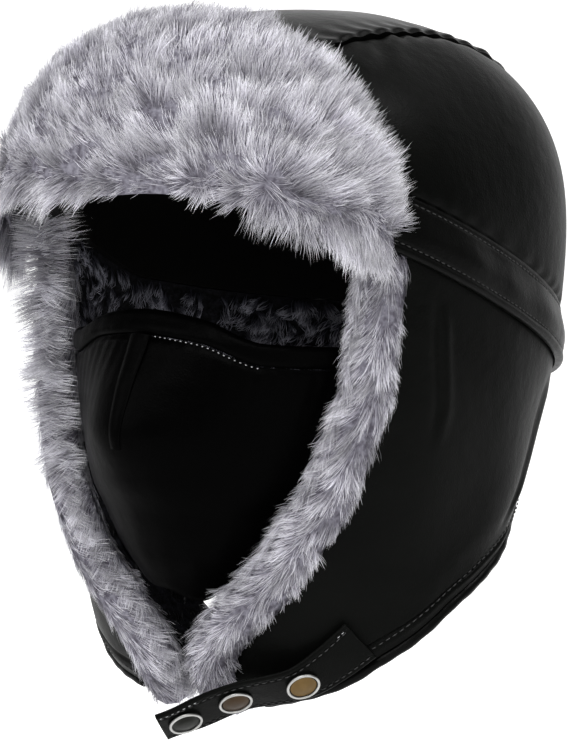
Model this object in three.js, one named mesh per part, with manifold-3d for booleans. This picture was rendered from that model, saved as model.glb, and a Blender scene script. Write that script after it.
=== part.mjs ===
import * as THREE from 'three';
import { mergeVertices } from 'three/addons/utils/BufferGeometryUtils.js';
import Module from 'manifold-3d';

const wasm = await Module();
wasm.setup();

// Aviator hat, in millimetres. The face looks along -Y, the wearer's left is +X and +Z is up.
// The origin is the top of the head hollow, where the hat rests on a head.

// Sizes of the hat over its leather
const HALF_WIDTH = 96;
const FRONT_REACH = 116;
const BACK_REACH = 115;
const CROWN_RISE = 86;
const FACE_DROP = 196;
const DOME_POWER = 2.3;
const PLAN_POWER = 2.2;

// Layers of the wall
const LEATHER = 3;
const LAYER_GAP = 0.7;
const CROWN_PAD = 8.5;
const FUR_PILE = 8;
const SEAM_GAP = 0.4;
const WALL = LEATHER + LAYER_GAP + CROWN_PAD;

// Levels
const WIDEST_Z = WALL - CROWN_RISE;
const SEAM_Z = WIDEST_Z - 7.2;
const SEAM_AT_Y = -42.8;
const SEAM_SLOPE = 0.43;
const BAND_HEIGHT = 24;
const BAND_LEATHER = 2.4;
const TUCK = 6;
const STRIP_HALF = 50;
const LINING_DROP = 10.5;
const LINING_SLOPE = 0.17;

// Fur visor
const VISOR_LEATHER = 2.4;
const VISOR_LIFT = 4.2;
const VISOR_FUR = 10;
const VISOR_EDGE_Y = -57;
const VISOR_FLAP_SHORT = 12;
const VISOR_FUR_SHORT = 3;
const VISOR_FLAP_BACK = 5;

// Fur trim round the face
const TRIM_FRONT = 13;
const TRIM_BACK = 9;
const TRIM_HIGH = 8;
const TRIM_DEEP = 12;

// Hem, mask, strap and snaps
const PIPING = 2.2;
const MASK_LEATHER = 2.2;
const MASK_BAND_LEATHER = 3.4;
const MASK_BAND_HEIGHT = 8.5;
const MASK_TUCK = 14.5;
const MASK_BEHIND = 2;
const NOSE_RISE = 12;
const DART_LENGTH = 42;
const DART_RISE = 1.5;
const LOOP_RADIUS = 5.6;
const LOOP_CORD = 0.9;
const STRAP_WIDTH = 20;
const STRAP_LEATHER = 2.4;
const SNAP_RADIUS = 6.6;
const SNAP_RIM = 1.1;
const SNAP_GAP = 0.3;
const STRAP_BULGE = 0.3;
const STRAP_LENGTH = 100;

// How the widths change below the widest level: down is a share of FACE_DROP,
// width, front and back are shares of HALF_WIDTH, FRONT_REACH and BACK_REACH.
const BODY = [
  { down: 0.00, width: 1.000, front: 1.000, back: 1.000 },
  { down: 0.15, width: 0.990, front: 0.931, back: 0.974 },
  { down: 0.26, width: 0.984, front: 0.905, back: 0.922 },
  { down: 0.37, width: 0.969, front: 0.871, back: 0.835 },
  { down: 0.46, width: 0.953, front: 0.836, back: 0.748 },
  { down: 0.56, width: 0.932, front: 0.776, back: 0.635 },
  { down: 0.62, width: 0.917, front: 0.741, back: 0.565 },
  { down: 0.71, width: 0.901, front: 0.690, back: 0.496 },
  { down: 0.80, width: 0.875, front: 0.647, back: 0.443 },
  { down: 0.87, width: 0.823, front: 0.603, back: 0.400 },
  { down: 0.93, width: 0.729, front: 0.534, back: 0.348 },
  { down: 1.00, width: 0.500, front: 0.379, back: 0.243 },
];

// Front edge of an ear flap: angle from the face centre in degrees at each level.
const FACE_EDGE = [
  { down: 0.000, angle: 59 },
  { down: 0.107, angle: 58 },
  { down: 0.184, angle: 57 },
  { down: 0.279, angle: 56 },
  { down: 0.355, angle: 53 },
  { down: 0.432, angle: 50 },
  { down: 0.500, angle: 47 },
  { down: 0.560, angle: 42 },
  { down: 0.630, angle: 37 },
  { down: 0.694, angle: 30 },
  { down: 0.758, angle: 21.5 },
  { down: 0.825, angle: 15 },
  { down: 0.880, angle: 13.5 },
  { down: 0.930, angle: 15 },
];

// Hem of an ear flap, from the chin round to the nape: level at each angle.
const HEM = [
  { angle: 15, down: 0.918 },
  { angle: 41, down: 0.884 },
  { angle: 51, down: 0.857 },
  { angle: 61, down: 0.811 },
  { angle: 68, down: 0.780 },
  { angle: 75, down: 0.746 },
  { angle: 82, down: 0.710 },
  { angle: 92, down: 0.670 },
  { angle: 101, down: 0.638 },
  { angle: 112, down: 0.600 },
  { angle: 132, down: 0.545 },
  { angle: 180, down: 0.510 },
];

// Lower edge of the visor by angle from the face centre.
const VISOR_EDGE = [
  { angle: 0, down: -0.048 },
  { angle: 14, down: -0.058 },
  { angle: 23, down: -0.052 },
  { angle: 31, down: -0.034 },
  { angle: 40, down: -0.008 },
  { angle: 46, down: 0.012 },
  { angle: 52, down: 0.045 },
  { angle: 60, down: 0.055 },
];

// Mask profile on the face centre line: reach is a share of FRONT_REACH, nose a share of NOSE_RISE.
const MASK_PROFILE = [
  { down: 0.140, reach: 0.745, nose: 0.25 },
  { down: 0.200, reach: 0.790, nose: 0.33 },
  { down: 0.290, reach: 0.822, nose: 0.75 },
  { down: 0.375, reach: 0.838, nose: 1.00 },
  { down: 0.465, reach: 0.828, nose: 0.58 },
  { down: 0.540, reach: 0.800, nose: 0.17 },
  { down: 0.622, reach: 0.760, nose: 0.00 },
  { down: 0.700, reach: 0.705, nose: 0.00 },
];

// Top edge of the mask: rises over the nose, dips on the cheeks.
const MASK_TOP = [
  { share: 0.00, down: 0.138 },
  { share: 0.25, down: 0.150 },
  { share: 0.55, down: 0.195 },
  { share: 1.00, down: 0.205 },
];

// Chin strap centre line past the flap: shares of HALF_WIDTH, FRONT_REACH and FACE_DROP.
const STRAP_FREE = [
  { across: 0.355, reach: 0.675, down: 0.886 },
  { across: 0.196, reach: 0.769, down: 0.927 },
  { across: 0.115, reach: 0.826, down: 0.947 },
];

const RAD = Math.PI / 180;

function clamp(value, low, high) {
  return Math.min(high, Math.max(low, value));
}

function ramp(low, high, value) {
  const t = clamp((value - low) / (high - low), 0, 1);
  return t * t * (3 - 2 * t);
}

function mix(a, b, t) {
  return a + (b - a) * t;
}

// Smooth curve through the rows of a table, never overshooting between two rows.
function curve(rows, from, to) {
  const xs = rows.map((row) => row[from]);
  const ys = rows.map((row) => row[to]);
  const last = xs.length - 1;
  const steps = xs.slice(1).map((x, i) => (ys[i + 1] - ys[i]) / (x - xs[i]));
  const slopes = xs.map((x, i) => {
    if (i === 0 || i === last) {
      return 0;
    }
    const before = steps[i - 1];
    const after = steps[i];
    return before * after <= 0 ? 0 : (2 * before * after) / (before + after);
  });
  return (x) => {
    if (x <= xs[0]) {
      return ys[0];
    }
    if (x >= xs[last]) {
      return ys[last];
    }
    let i = 0;
    while (x > xs[i + 1]) {
      i += 1;
    }
    const h = xs[i + 1] - xs[i];
    const t = (x - xs[i]) / h;
    const t2 = t * t;
    const t3 = t2 * t;
    const start = (2 * t3 - 3 * t2 + 1) * ys[i] + (t3 - 2 * t2 + t) * h * slopes[i];
    return start + (3 * t2 - 2 * t3) * ys[i + 1] + (t3 - t2) * h * slopes[i + 1];
  };
}

const widthAt = curve(BODY, 'down', 'width');
const frontAt = curve(BODY, 'down', 'front');
const backAt = curve(BODY, 'down', 'back');
const faceEdgeAt = curve(FACE_EDGE, 'down', 'angle');
const hemAt = curve(HEM, 'angle', 'down');
const visorEdgeAt = curve(VISOR_EDGE, 'angle', 'down');
const maskReachAt = curve(MASK_PROFILE, 'down', 'reach');
const maskNoseAt = curve(MASK_PROFILE, 'down', 'nose');
const maskTopAt = curve(MASK_TOP, 'share', 'down');

function levelOf(down) {
  return WIDEST_Z - down * FACE_DROP;
}

function downOf(z) {
  return (WIDEST_Z - z) / FACE_DROP;
}

// Below 1 inside the form of the hat, above 1 outside it.
function formValue(x, y, z) {
  const down = clamp(downOf(z), 0, 1);
  const side = Math.abs(x) / (HALF_WIDTH * widthAt(down));
  const reach = y < 0 ? FRONT_REACH * frontAt(down) : BACK_REACH * backAt(down);
  const plan = side ** PLAN_POWER + (Math.abs(y) / reach) ** PLAN_POWER;
  if (z <= WIDEST_Z) {
    return plan;
  }
  return plan ** (DOME_POWER / PLAN_POWER) + ((z - WIDEST_Z) / CROWN_RISE) ** DOME_POWER;
}

function normalOf(p) {
  const h = 0.05;
  return new THREE.Vector3(
    formValue(p.x + h, p.y, p.z) - formValue(p.x - h, p.y, p.z),
    formValue(p.x, p.y + h, p.z) - formValue(p.x, p.y - h, p.z),
    formValue(p.x, p.y, p.z + h) - formValue(p.x, p.y, p.z - h),
  ).normalize();
}

// Point of the form at an angle from the face centre and a level.
function around(angle, z) {
  const down = clamp(downOf(z), 0, 1);
  const s = Math.sin(angle * RAD);
  const c = Math.cos(angle * RAD);
  const reach = c > 0 ? FRONT_REACH * frontAt(down) : BACK_REACH * backAt(down);
  const plan = (Math.abs(s) / (HALF_WIDTH * widthAt(down))) ** PLAN_POWER + (Math.abs(c) / reach) ** PLAN_POWER;
  const rise = Math.max(0, (z - WIDEST_Z) / CROWN_RISE);
  const scale = (1 - Math.min(1, rise) ** DOME_POWER) ** (1 / DOME_POWER);
  const r = scale * plan ** (-1 / PLAN_POWER);
  return new THREE.Vector3(r * s, -r * c, z);
}

// Point where a ray from inside meets the form.
function castFrom(origin, direction) {
  let near = 0;
  let far = 400;
  for (let i = 0; i < 44; i += 1) {
    const middle = (near + far) / 2;
    const p = origin.clone().addScaledVector(direction, middle);
    if (formValue(p.x, p.y, p.z) < 1) {
      near = middle;
    } else {
      far = middle;
    }
  }
  return origin.clone().addScaledVector(direction, near);
}

function castOn(point) {
  const centre = new THREE.Vector3(0, 0, WIDEST_Z);
  return castFrom(centre, point.clone().sub(centre).normalize());
}

function lifted(point, lift) {
  return point.clone().addScaledVector(normalOf(point), lift);
}

// Level of a seam that falls towards the back, at an angle; rise moves it up.
function seamLevel(angle, rise) {
  let z = SEAM_Z + rise;
  for (let i = 0; i < 30; i += 1) {
    z = SEAM_Z + rise - SEAM_SLOPE * (around(angle, z).y - SEAM_AT_Y);
  }
  return z;
}

// Closed solid from a list of corner points and faces, faces turned outward.
function solidFrom(points, faces) {
  let volume = 0;
  for (const [a, b, c] of faces) {
    volume += points[a].dot(points[b].clone().cross(points[c]));
  }
  const index = faces.flatMap(([a, b, c]) => (volume < 0 ? [a, c, b] : [a, b, c]));
  const geometry = new THREE.BufferGeometry();
  const flat = points.flatMap((p) => [p.x, p.y, p.z]);
  geometry.setAttribute('position', new THREE.Float32BufferAttribute(flat, 3));
  geometry.setIndex(index);
  return mergeVertices(geometry, 1e-4);
}

// Sheet with thickness: place(u, v) is a point of the form, outer and inner are lifts of its two faces.
function sheet(columns, rows, place, outer, inner, ring = false) {
  const points = [];
  const faces = [];
  const across = ring ? columns : columns + 1;
  for (const lift of [outer, inner]) {
    for (let j = 0; j <= rows; j += 1) {
      for (let i = 0; i < across; i += 1) {
        const u = i / columns;
        const v = j / rows;
        points.push(lifted(place(u, v), lift(u, v)));
      }
    }
  }
  const layer = across * (rows + 1);
  const at = (i, j, side) => side * layer + j * across + (i % across);
  const quad = (a, b, c, d) => faces.push([a, b, c], [a, c, d]);
  for (let j = 0; j < rows; j += 1) {
    for (let i = 0; i < columns; i += 1) {
      quad(at(i, j, 0), at(i + 1, j, 0), at(i + 1, j + 1, 0), at(i, j + 1, 0));
      quad(at(i, j, 1), at(i, j + 1, 1), at(i + 1, j + 1, 1), at(i + 1, j, 1));
    }
  }
  for (let i = 0; i < columns; i += 1) {
    quad(at(i, 0, 0), at(i, 0, 1), at(i + 1, 0, 1), at(i + 1, 0, 0));
    quad(at(i, rows, 0), at(i + 1, rows, 0), at(i + 1, rows, 1), at(i, rows, 1));
  }
  for (let j = 0; j < rows && !ring; j += 1) {
    quad(at(0, j, 0), at(0, j + 1, 0), at(0, j + 1, 1), at(0, j, 1));
    quad(at(columns, j, 0), at(columns, j, 1), at(columns, j + 1, 1), at(columns, j + 1, 0));
  }
  return solidFrom(points, faces);
}

// Solid swept along stations; each station is the ring of points of one section.
function swept(stations, ring = false) {
  const sides = stations[0].length;
  const points = stations.flat();
  const faces = [];
  const count = stations.length;
  for (let i = 0; i < (ring ? count : count - 1); i += 1) {
    for (let k = 0; k < sides; k += 1) {
      const a = i * sides + k;
      const b = i * sides + ((k + 1) % sides);
      const c = ((i + 1) % count) * sides + ((k + 1) % sides);
      const d = ((i + 1) % count) * sides + k;
      faces.push([a, b, c], [a, c, d]);
    }
  }
  if (!ring) {
    const ends = THREE.ShapeUtils.triangulateShape;
    const flatten = (section) => {
      const middle = section.reduce((sum, p) => sum.add(p), new THREE.Vector3()).divideScalar(sides);
      const x = section[0].clone().sub(middle).normalize();
      const normal = new THREE.Vector3();
      for (let k = 0; k < sides; k += 1) {
        const p = section[k].clone().sub(middle);
        normal.add(p.cross(section[(k + 1) % sides].clone().sub(middle)));
      }
      const y = normal.normalize().cross(x);
      return section.map((p) => new THREE.Vector2(p.clone().sub(middle).dot(x), p.clone().sub(middle).dot(y)));
    };
    const start = (count - 1) * sides;
    ends(flatten(stations[0]), []).forEach(([a, b, c]) => faces.push([a, c, b]));
    ends(flatten(stations[count - 1]), []).forEach(([a, b, c]) => faces.push([start + a, start + b, start + c]));
  }
  return solidFrom(points, faces);
}

// One lock of fur: a flat horn sunk in the backing at its root and free at its tip.
function lock(root, along, normal, length, width, height, lift) {
  const side = along.clone().cross(normal).normalize();
  const corners = [
    root.clone().addScaledVector(side, width / 2).addScaledVector(normal, -1.6),
    root.clone().addScaledVector(side, -width / 2).addScaledVector(normal, -1.6),
    root.clone().addScaledVector(normal, height),
    root.clone().addScaledVector(along, length).addScaledVector(normal, lift),
  ];
  return solidFrom(corners, [[0, 1, 2], [0, 3, 1], [1, 3, 2], [2, 3, 0]]);
}

function toManifold(geometry) {
  const mesh = new wasm.Mesh({
    numProp: 3,
    vertProperties: new Float32Array(geometry.attributes.position.array),
    triVerts: new Uint32Array(geometry.index.array),
  });
  return new wasm.Manifold(mesh);
}

function fromManifold(body) {
  const mesh = body.getMesh();
  const geometry = new THREE.BufferGeometry();
  geometry.setAttribute('position', new THREE.Float32BufferAttribute(mesh.vertProperties, 3));
  geometry.setIndex(Array.from(mesh.triVerts));
  return mergeVertices(geometry, 1e-4);
}

// Joins the extras to the base; one that does not reach the base is left off.
function fuse(base, extras) {
  const joined = extras.reduce((body, extra) => body.add(toManifold(extra)), toManifold(base));
  return fromManifold(joined.decompose().reduce((best, body) => (body.volume() > best.volume() ? body : best)));
}

function mirrored(geometry) {
  const copy = geometry.clone();
  copy.scale(-1, 1, 1);
  const index = copy.index.array;
  for (let i = 0; i < index.length; i += 3) {
    const swap = index[i + 1];
    index[i + 1] = index[i + 2];
    index[i + 2] = swap;
  }
  return copy;
}

// Repeatable scatter between 0 and 1.
function scatter(n, salt) {
  const value = Math.sin(n * 12.9898 + salt * 78.233) * 43758.5453;
  return value - Math.floor(value);
}

const LEATHER_BLACK = { color: 0x16171a, roughness: 0.52 };
const SATIN_BLACK = { color: 0x0e0e10, roughness: 0.6 };
const FUR_GREY = { color: 0xb4b3bd, roughness: 0.95 };
const FUR_DARK = { color: 0x5d5c66, roughness: 0.95 };
const METAL_SILVER = { color: 0xc9c9cc, roughness: 0.3, metalness: 1 };
const METAL_BRONZE = { color: 0x8a7458, roughness: 0.4, metalness: 1 };
const METAL_BLACK = { color: 0x2a2b2a, roughness: 0.4, metalness: 1 };

const group = new THREE.Group();
group.name = 'aviator_hat';

function addPart(name, geometry, finish) {
  const material = new THREE.MeshStandardMaterial({ metalness: 0, ...finish });
  const mesh = new THREE.Mesh(geometry, material);
  mesh.name = name;
  group.add(mesh);
}

// Crown: a centre strip from brow to nape between two side panels.
const crownCentre = (x) => new THREE.Vector3(x, 0, WIDEST_Z);
const stripPoint = (x, turn) => castFrom(crownCentre(x), new THREE.Vector3(0, -Math.cos(turn), Math.sin(turn)));

// Turn at which the section at x meets the upper seam of the band, at the brow (from 0) or the nape (from PI).
function stripEnd(x, fromTurn, toTurn) {
  let outside = fromTurn;
  let onCrown = toTurn;
  for (let i = 0; i < 40; i += 1) {
    const middle = (outside + onCrown) / 2;
    const p = stripPoint(x, middle);
    const seam = SEAM_Z + BAND_HEIGHT + SEAM_GAP - SEAM_SLOPE * (p.y - SEAM_AT_Y);
    if (p.z > seam) {
      onCrown = middle;
    } else {
      outside = middle;
    }
  }
  return onCrown;
}

const stripTurn = (x, v) => mix(stripEnd(x, -0.4, 1.5), stripEnd(x, Math.PI + 0.9, 1.6), v);
const stripPlace = (u, v) => {
  const x = mix(-STRIP_HALF, STRIP_HALF, u);
  return stripPoint(x, stripTurn(x, v));
};

// Raised side edges of the strip and soft cross wrinkles over the back of the head.
const stripOuter = (u, v) => {
  const edge = Math.exp(-(((1 - Math.abs(2 * u - 1)) / 0.1) ** 2));
  const wrinkle = Math.sin(v * 46) * 0.7 * ramp(0.35, 0.6, v) * (0.4 + 0.6 * (1 - Math.abs(2 * u - 1)));
  return 0.9 * edge + wrinkle * (1 - edge);
};
addPart('crown_strip', sheet(8, 18, stripPlace, stripOuter, () => -LEATHER), LEATHER_BLACK);

const sideX = STRIP_HALF + SEAM_GAP;
const sideFront = 0.03;
const sideTop = (u) => stripPoint(sideX, stripTurn(sideX, mix(sideFront, 1 - sideFront, u)));
const cornerAngle = (turn) => {
  const p = stripPoint(sideX, turn);
  return Math.atan2(p.x, -p.y) / RAD;
};
const sideAngles = [cornerAngle(stripTurn(sideX, 0)), cornerAngle(stripTurn(sideX, 1))];
const sidePlace = (u, v) => {
  const angle = mix(sideAngles[0], sideAngles[1], u);
  const low = around(angle, seamLevel(angle, BAND_HEIGHT + SEAM_GAP));
  return castOn(low.lerp(sideTop(u), v));
};

// The side panel sinks at its seams and is drawn in a little below the strip.
const sideOuter = (u, v) => {
  const seam = Math.exp(-((v / 0.12) ** 2)) + Math.exp(-(((1 - v) / 0.1) ** 2));
  const dent = Math.exp(-(((u - 0.42) / 0.09) ** 2)) * ramp(0.5, 0.95, v);
  return -0.8 * Math.min(1, seam) - 1.1 * dent;
};
const crownSide = sheet(15, 7, sidePlace, sideOuter, () => -LEATHER);
addPart('crown_side_left', crownSide, LEATHER_BLACK);
addPart('crown_side_right', mirrored(crownSide), LEATHER_BLACK);

// Band round the crown; its lower edge stands out over the tops of the ear flaps.
const bandPlace = (u, v) => {
  const angle = u * 360;
  return around(angle, seamLevel(angle, BAND_HEIGHT * (1 - v)));
};
const bandLift = BAND_LEATHER + LAYER_GAP;
const bandOuter = (u, v) => bandLift * ramp(0, 0.66, v);
const bandInner = (u, v) => bandOuter(u, v) - BAND_LEATHER;
addPart('crown_band', sheet(36, 3, bandPlace, bandOuter, bandInner, true), LEATHER_BLACK);

// Ear flaps: from the face edge to the nape seam, tops tucked under the band.
const HEM_START = HEM[0].angle;
const backSeam = 180 - (SEAM_GAP / 2 / BACK_REACH) / RAD;

// Angle and level of a point of the flap; u runs from the face edge to the nape, v from the seam to the hem.
function flapSpot(u, v, topRise, frontShift, hemShift) {
  const topAngle = mix(FACE_EDGE[0].angle, backSeam, u);
  const hemAngle = mix(HEM_START, backSeam, u);
  const top = seamLevel(topAngle, topRise);
  const hem = levelOf(hemAt(hemAngle)) + hemShift;
  const frontTop = seamLevel(FACE_EDGE[0].angle, topRise);
  const frontHem = levelOf(hemAt(HEM_START)) + hemShift;
  const backTop = seamLevel(backSeam, topRise);
  const backHem = levelOf(hemAt(backSeam)) + hemShift;
  const frontZ = mix(frontTop, frontHem, v);
  const backZ = mix(backTop, backHem, v);
  const straightZ = mix(mix(frontTop, frontHem, v), mix(backTop, backHem, v), u);
  const z = mix(top, hem, v) + mix(frontZ, backZ, u) - straightZ;
  const edge = faceEdgeAt(downOf(frontZ));
  const straightEdge = mix(faceEdgeAt(downOf(frontTop)), faceEdgeAt(downOf(frontHem)), v);
  const angle = mix(topAngle, hemAngle, v) + (1 - u) * (edge - straightEdge);
  return { angle: angle + frontShift * (1 - u), z };
}

const flapPlace = (u, v) => {
  const spot = flapSpot(u, v, TUCK, 0, 0);
  return around(spot.angle, spot.z);
};

// Soft folds of the flap: one behind the fur trim, one down the back of the ear.
const flapOuter = (u, v) => {
  const frontFold = Math.exp(-(((u - 0.16) / 0.07) ** 2)) * ramp(0.05, 0.15, v) * (1 - ramp(0.3, 0.5, v));
  const backFold = Math.exp(-(((u - 0.62) / 0.07) ** 2)) * ramp(0.15, 0.3, v) * (1 - ramp(0.7, 0.95, v));
  return -0.9 * frontFold + 0.9 * backFold;
};
const earFlap = sheet(15, 10, flapPlace, flapOuter, () => -LEATHER);
addPart('ear_flap_left', earFlap, LEATHER_BLACK);
addPart('ear_flap_right', mirrored(earFlap), LEATHER_BLACK);

// Lining: satin in the crown, fur pile below it.
const liningOut = -(LEATHER + LAYER_GAP);
const liningEdge = (angle) => {
  const seam = seamLevel(angle, 0);
  const y = around(angle, seam).y;
  return Math.max(seam, SEAM_Z - LINING_DROP - LINING_SLOPE * (y - SEAM_AT_Y));
};
const brow = (angle) => 1 - ramp(44, 54, Math.min(angle, 360 - angle));
const liningPlace = (u, v) => {
  const angle = u * 360;
  const low = around(angle, liningEdge(angle) + SEAM_GAP);
  const slope = Math.atan2(low.z - WIDEST_Z, Math.hypot(low.x, low.y));
  const turn = mix(Math.PI / 2 - 0.05, slope, v);
  const plan = new THREE.Vector3(low.x, low.y, 0).normalize();
  const centre = new THREE.Vector3(0, 0, WIDEST_Z);
  return castFrom(centre, plan.multiplyScalar(Math.cos(turn)).setZ(Math.sin(turn)));
};
const liningOuter = (u, v) => liningOut + (bandLift - BAND_LEATHER - LAYER_GAP - liningOut) * brow(u * 360) * ramp(0.9, 1, v);
const liningInner = () => liningOut - CROWN_PAD;

function crownLining(columns, rows) {
  const points = [];
  const faces = [];
  for (const lift of [liningOuter, liningInner]) {
    for (let j = 0; j <= rows; j += 1) {
      for (let i = 0; i < columns; i += 1) {
        points.push(lifted(liningPlace(i / columns, j / rows), lift(i / columns, j / rows)));
      }
    }
    points.push(lifted(new THREE.Vector3(0, 0, WALL), lift(0, 0)));
  }
  const layer = columns * (rows + 1) + 1;
  const at = (i, j, side) => side * layer + j * columns + (i % columns);
  const quad = (a, b, c, d) => faces.push([a, b, c], [a, c, d]);
  for (let i = 0; i < columns; i += 1) {
    for (let j = 0; j < rows; j += 1) {
      quad(at(i, j, 0), at(i, j + 1, 0), at(i + 1, j + 1, 0), at(i + 1, j, 0));
      quad(at(i, j, 1), at(i + 1, j, 1), at(i + 1, j + 1, 1), at(i, j + 1, 1));
    }
    quad(at(i, rows, 0), at(i, rows, 1), at(i + 1, rows, 1), at(i + 1, rows, 0));
    faces.push([layer - 1, at(i, 0, 0), at(i + 1, 0, 0)]);
    faces.push([2 * layer - 1, at(i + 1, 0, 1), at(i, 0, 1)]);
  }
  return solidFrom(points, faces);
}
addPart('crown_lining', crownLining(26, 5), SATIN_BLACK);

const pilePlace = (u, v) => {
  const spot = flapSpot(u, v, 0, 0, 3);
  const topAngle = mix(FACE_EDGE[0].angle, backSeam, u);
  const rise = liningEdge(topAngle) - seamLevel(topAngle, 0);
  return around(spot.angle, spot.z + rise * (1 - v));
};
const flapLining = sheet(13, 7, pilePlace, () => liningOut, () => liningOut - FUR_PILE);
addPart('flap_lining_left', flapLining, FUR_DARK);
addPart('flap_lining_right', mirrored(flapLining), FUR_DARK);

// Fur visor: a leather flap folded up over the brow, covered with long fur.
const VISOR_SIDE = 58;
const visorTop = (u, y, half) => {
  const turn = mix(-half, half, u) * RAD;
  const direction = new THREE.Vector3(Math.sin(turn), 0, Math.cos(turn));
  return castFrom(new THREE.Vector3(0, y, WIDEST_Z), direction);
};
const visorPlace = (half, drop, edgeY, turn) => (u, v) => {
  const angle = mix(-half, half, u);
  const low = around(angle, levelOf(visorEdgeAt(Math.abs(angle))) + drop);
  return castOn(low.lerp(visorTop(u, edgeY, turn), v));
};
const visorBase = visorPlace(VISOR_SIDE - 3, VISOR_FLAP_SHORT, VISOR_EDGE_Y - VISOR_FLAP_BACK, 84);
const visorOut = VISOR_LIFT + VISOR_LEATHER;
addPart('visor_flap', sheet(14, 6, visorBase, () => visorOut, () => VISOR_LIFT), LEATHER_BLACK);

const furPlace = visorPlace(VISOR_SIDE, VISOR_FUR_SHORT, VISOR_EDGE_Y, 93);
const furIn = visorOut + 1.1;
const partingAt = 0.2;
const FUR_RIM = 3.5;
const furThick = (u, v) => {
  const edge = Math.max(0, Math.min(ramp(-0.02, 0.14, v), ramp(0, 0.4, 1 - v)));
  const middle = Math.exp(-(((u - 0.5) / 0.27) ** 2));
  const parting = Math.exp(-(((v - partingAt) / 0.07) ** 2));
  return FUR_RIM + (VISOR_FUR - FUR_RIM) * middle * edge - 2 * parting * middle * edge;
};
const furOuter = (u, v) => furIn + furThick(u, v);

function visorLocks() {
  const locks = [];
  const rows = 5;
  for (let j = 0; j <= rows; j += 1) {
    const count = 11;
    for (let i = 0; i <= count; i += 1) {
      const n = j * 20 + i;
      const u = clamp((i + 0.5 * (j % 2) + 0.4 * (scatter(n, 1) - 0.5)) / count, 0.04, 0.96);
      const v = clamp((j + 0.4 * (scatter(n, 2) - 0.5)) / rows, 0.05, 0.93);
      const on = furPlace(u, v);
      const normal = normalOf(on);
      const root = on.clone().addScaledVector(normal, furOuter(u, v) - 0.6);
      const up = furPlace(u, v + 0.02).sub(on).normalize();
      const out = furPlace(u + 0.02, v).sub(on).normalize();
      const rise = v > partingAt ? 1 : -1;
      const spread = (u - 0.5) * (v > partingAt ? 1.6 : 0.8) + 0.5 * (scatter(n, 3) - 0.5);
      const along = up.multiplyScalar(rise).addScaledVector(out, spread).normalize();
      locks.push(lock(root, along, normal, 11 + 3 * scatter(n, 4), 12, 1.8, 1.2));
    }
  }
  return locks;
}
const visorFur = fuse(sheet(13, 8, furPlace, furOuter, () => furIn), visorLocks());
addPart('visor_fur', visorFur, FUR_GREY);

// Fur trim wrapped round the face edge of an ear flap.
const TRIM_TOP_DOWN = 0.04;
const TRIM_END_DOWN = FACE_EDGE[FACE_EDGE.length - 1].down;
const edgePoint = (down) => around(faceEdgeAt(down), levelOf(down));

// Section of the trim: back is away from the face along the leather, lift is off the leather.
const TRIM_SECTION = [
  { back: 1.00, lift: 0.06 },
  { back: 0.55, lift: 0.75 },
  { back: -0.33, lift: 1.00 },
  { back: -1.11, lift: 0.62 },
  { back: -1.44, lift: -0.17 },
  { back: -1.22, lift: -0.75 },
  { back: -0.44, lift: -1.00 },
  { back: -0.09, lift: -0.92 },
  { back: -0.09, lift: 0.06 },
];

function trimFrame(share) {
  const down = mix(TRIM_TOP_DOWN, TRIM_END_DOWN, share);
  const point = edgePoint(down);
  const along = edgePoint(down + 0.004).sub(edgePoint(down - 0.004)).normalize();
  const normal = normalOf(point);
  const back = along.clone().cross(normal).normalize();
  if (back.dot(new THREE.Vector3(1, 1, 0)) < 0) {
    back.negate();
  }
  const thin = mix(0.36, 1, ramp(0.02, 0.14, share));
  const end = mix(0.75, 1, ramp(0, 0.06, 1 - share));
  return { point, along, normal, back, high: TRIM_HIGH * thin * end, deep: TRIM_DEEP, end };
}

function trimSpot(frame, corner) {
  const reach = corner.back > 0 ? TRIM_BACK : TRIM_FRONT / 1.44;
  const rise = corner.lift > 0 ? frame.high : frame.deep;
  const low = corner.lift > 0.1 || corner.lift < 0 ? corner.lift * rise : LAYER_GAP;
  const p = frame.point.clone().addScaledVector(frame.back, corner.back * reach);
  const bend = corner.back > 0 ? lifted(castOn(p), low) : p.addScaledVector(frame.normal, low);
  return bend;
}

function furTrim() {
  const count = 20;
  const stations = [];
  for (let i = 0; i <= count; i += 1) {
    const frame = trimFrame(i / count);
    stations.push(TRIM_SECTION.map((corner) => trimSpot(frame, corner)));
  }
  const locks = [];
  const perRow = 13;
  const rowsOfLocks = [
    { back: 0.55, lift: 0.62, turn: 1 },
    { back: -0.5, lift: 0.9, turn: 0.1 },
    { back: -1.2, lift: 0.3, turn: -1 },
  ];
  rowsOfLocks.forEach((row, r) => {
    for (let i = 0; i < perRow; i += 1) {
      const n = r * 40 + i;
      const share = clamp((i + 0.6 + 0.33 * r + 0.3 * scatter(n, 5)) / perRow, 0.1, 0.93);
      if (share > 0.82 && row.turn < 0) {
        continue;
      }
      const frame = trimFrame(share);
      const root = trimSpot(frame, row);
      const normal = frame.normal.clone().addScaledVector(frame.back, 0.5 * row.turn).normalize();
      const along = frame.along.clone().addScaledVector(frame.back, 0.8 * row.turn);
      along.addScaledVector(normal, -along.dot(normal)).normalize();
      locks.push(lock(root, along, normal, 10 + 3 * scatter(n, 6), 9, 1.4, 0.6));
    }
  });
  return fuse(swept(stations), locks);
}
const trimFur = furTrim();
addPart('trim_fur_left', trimFur, FUR_GREY);
addPart('trim_fur_right', mirrored(trimFur), FUR_GREY);

// Piped hem of an ear flap.
const hemPoint = (share) => {
  const angle = mix(HEM_START, backSeam, share);
  return around(angle, levelOf(hemAt(angle)));
};
const PIPING_START = 0.075;

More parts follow.
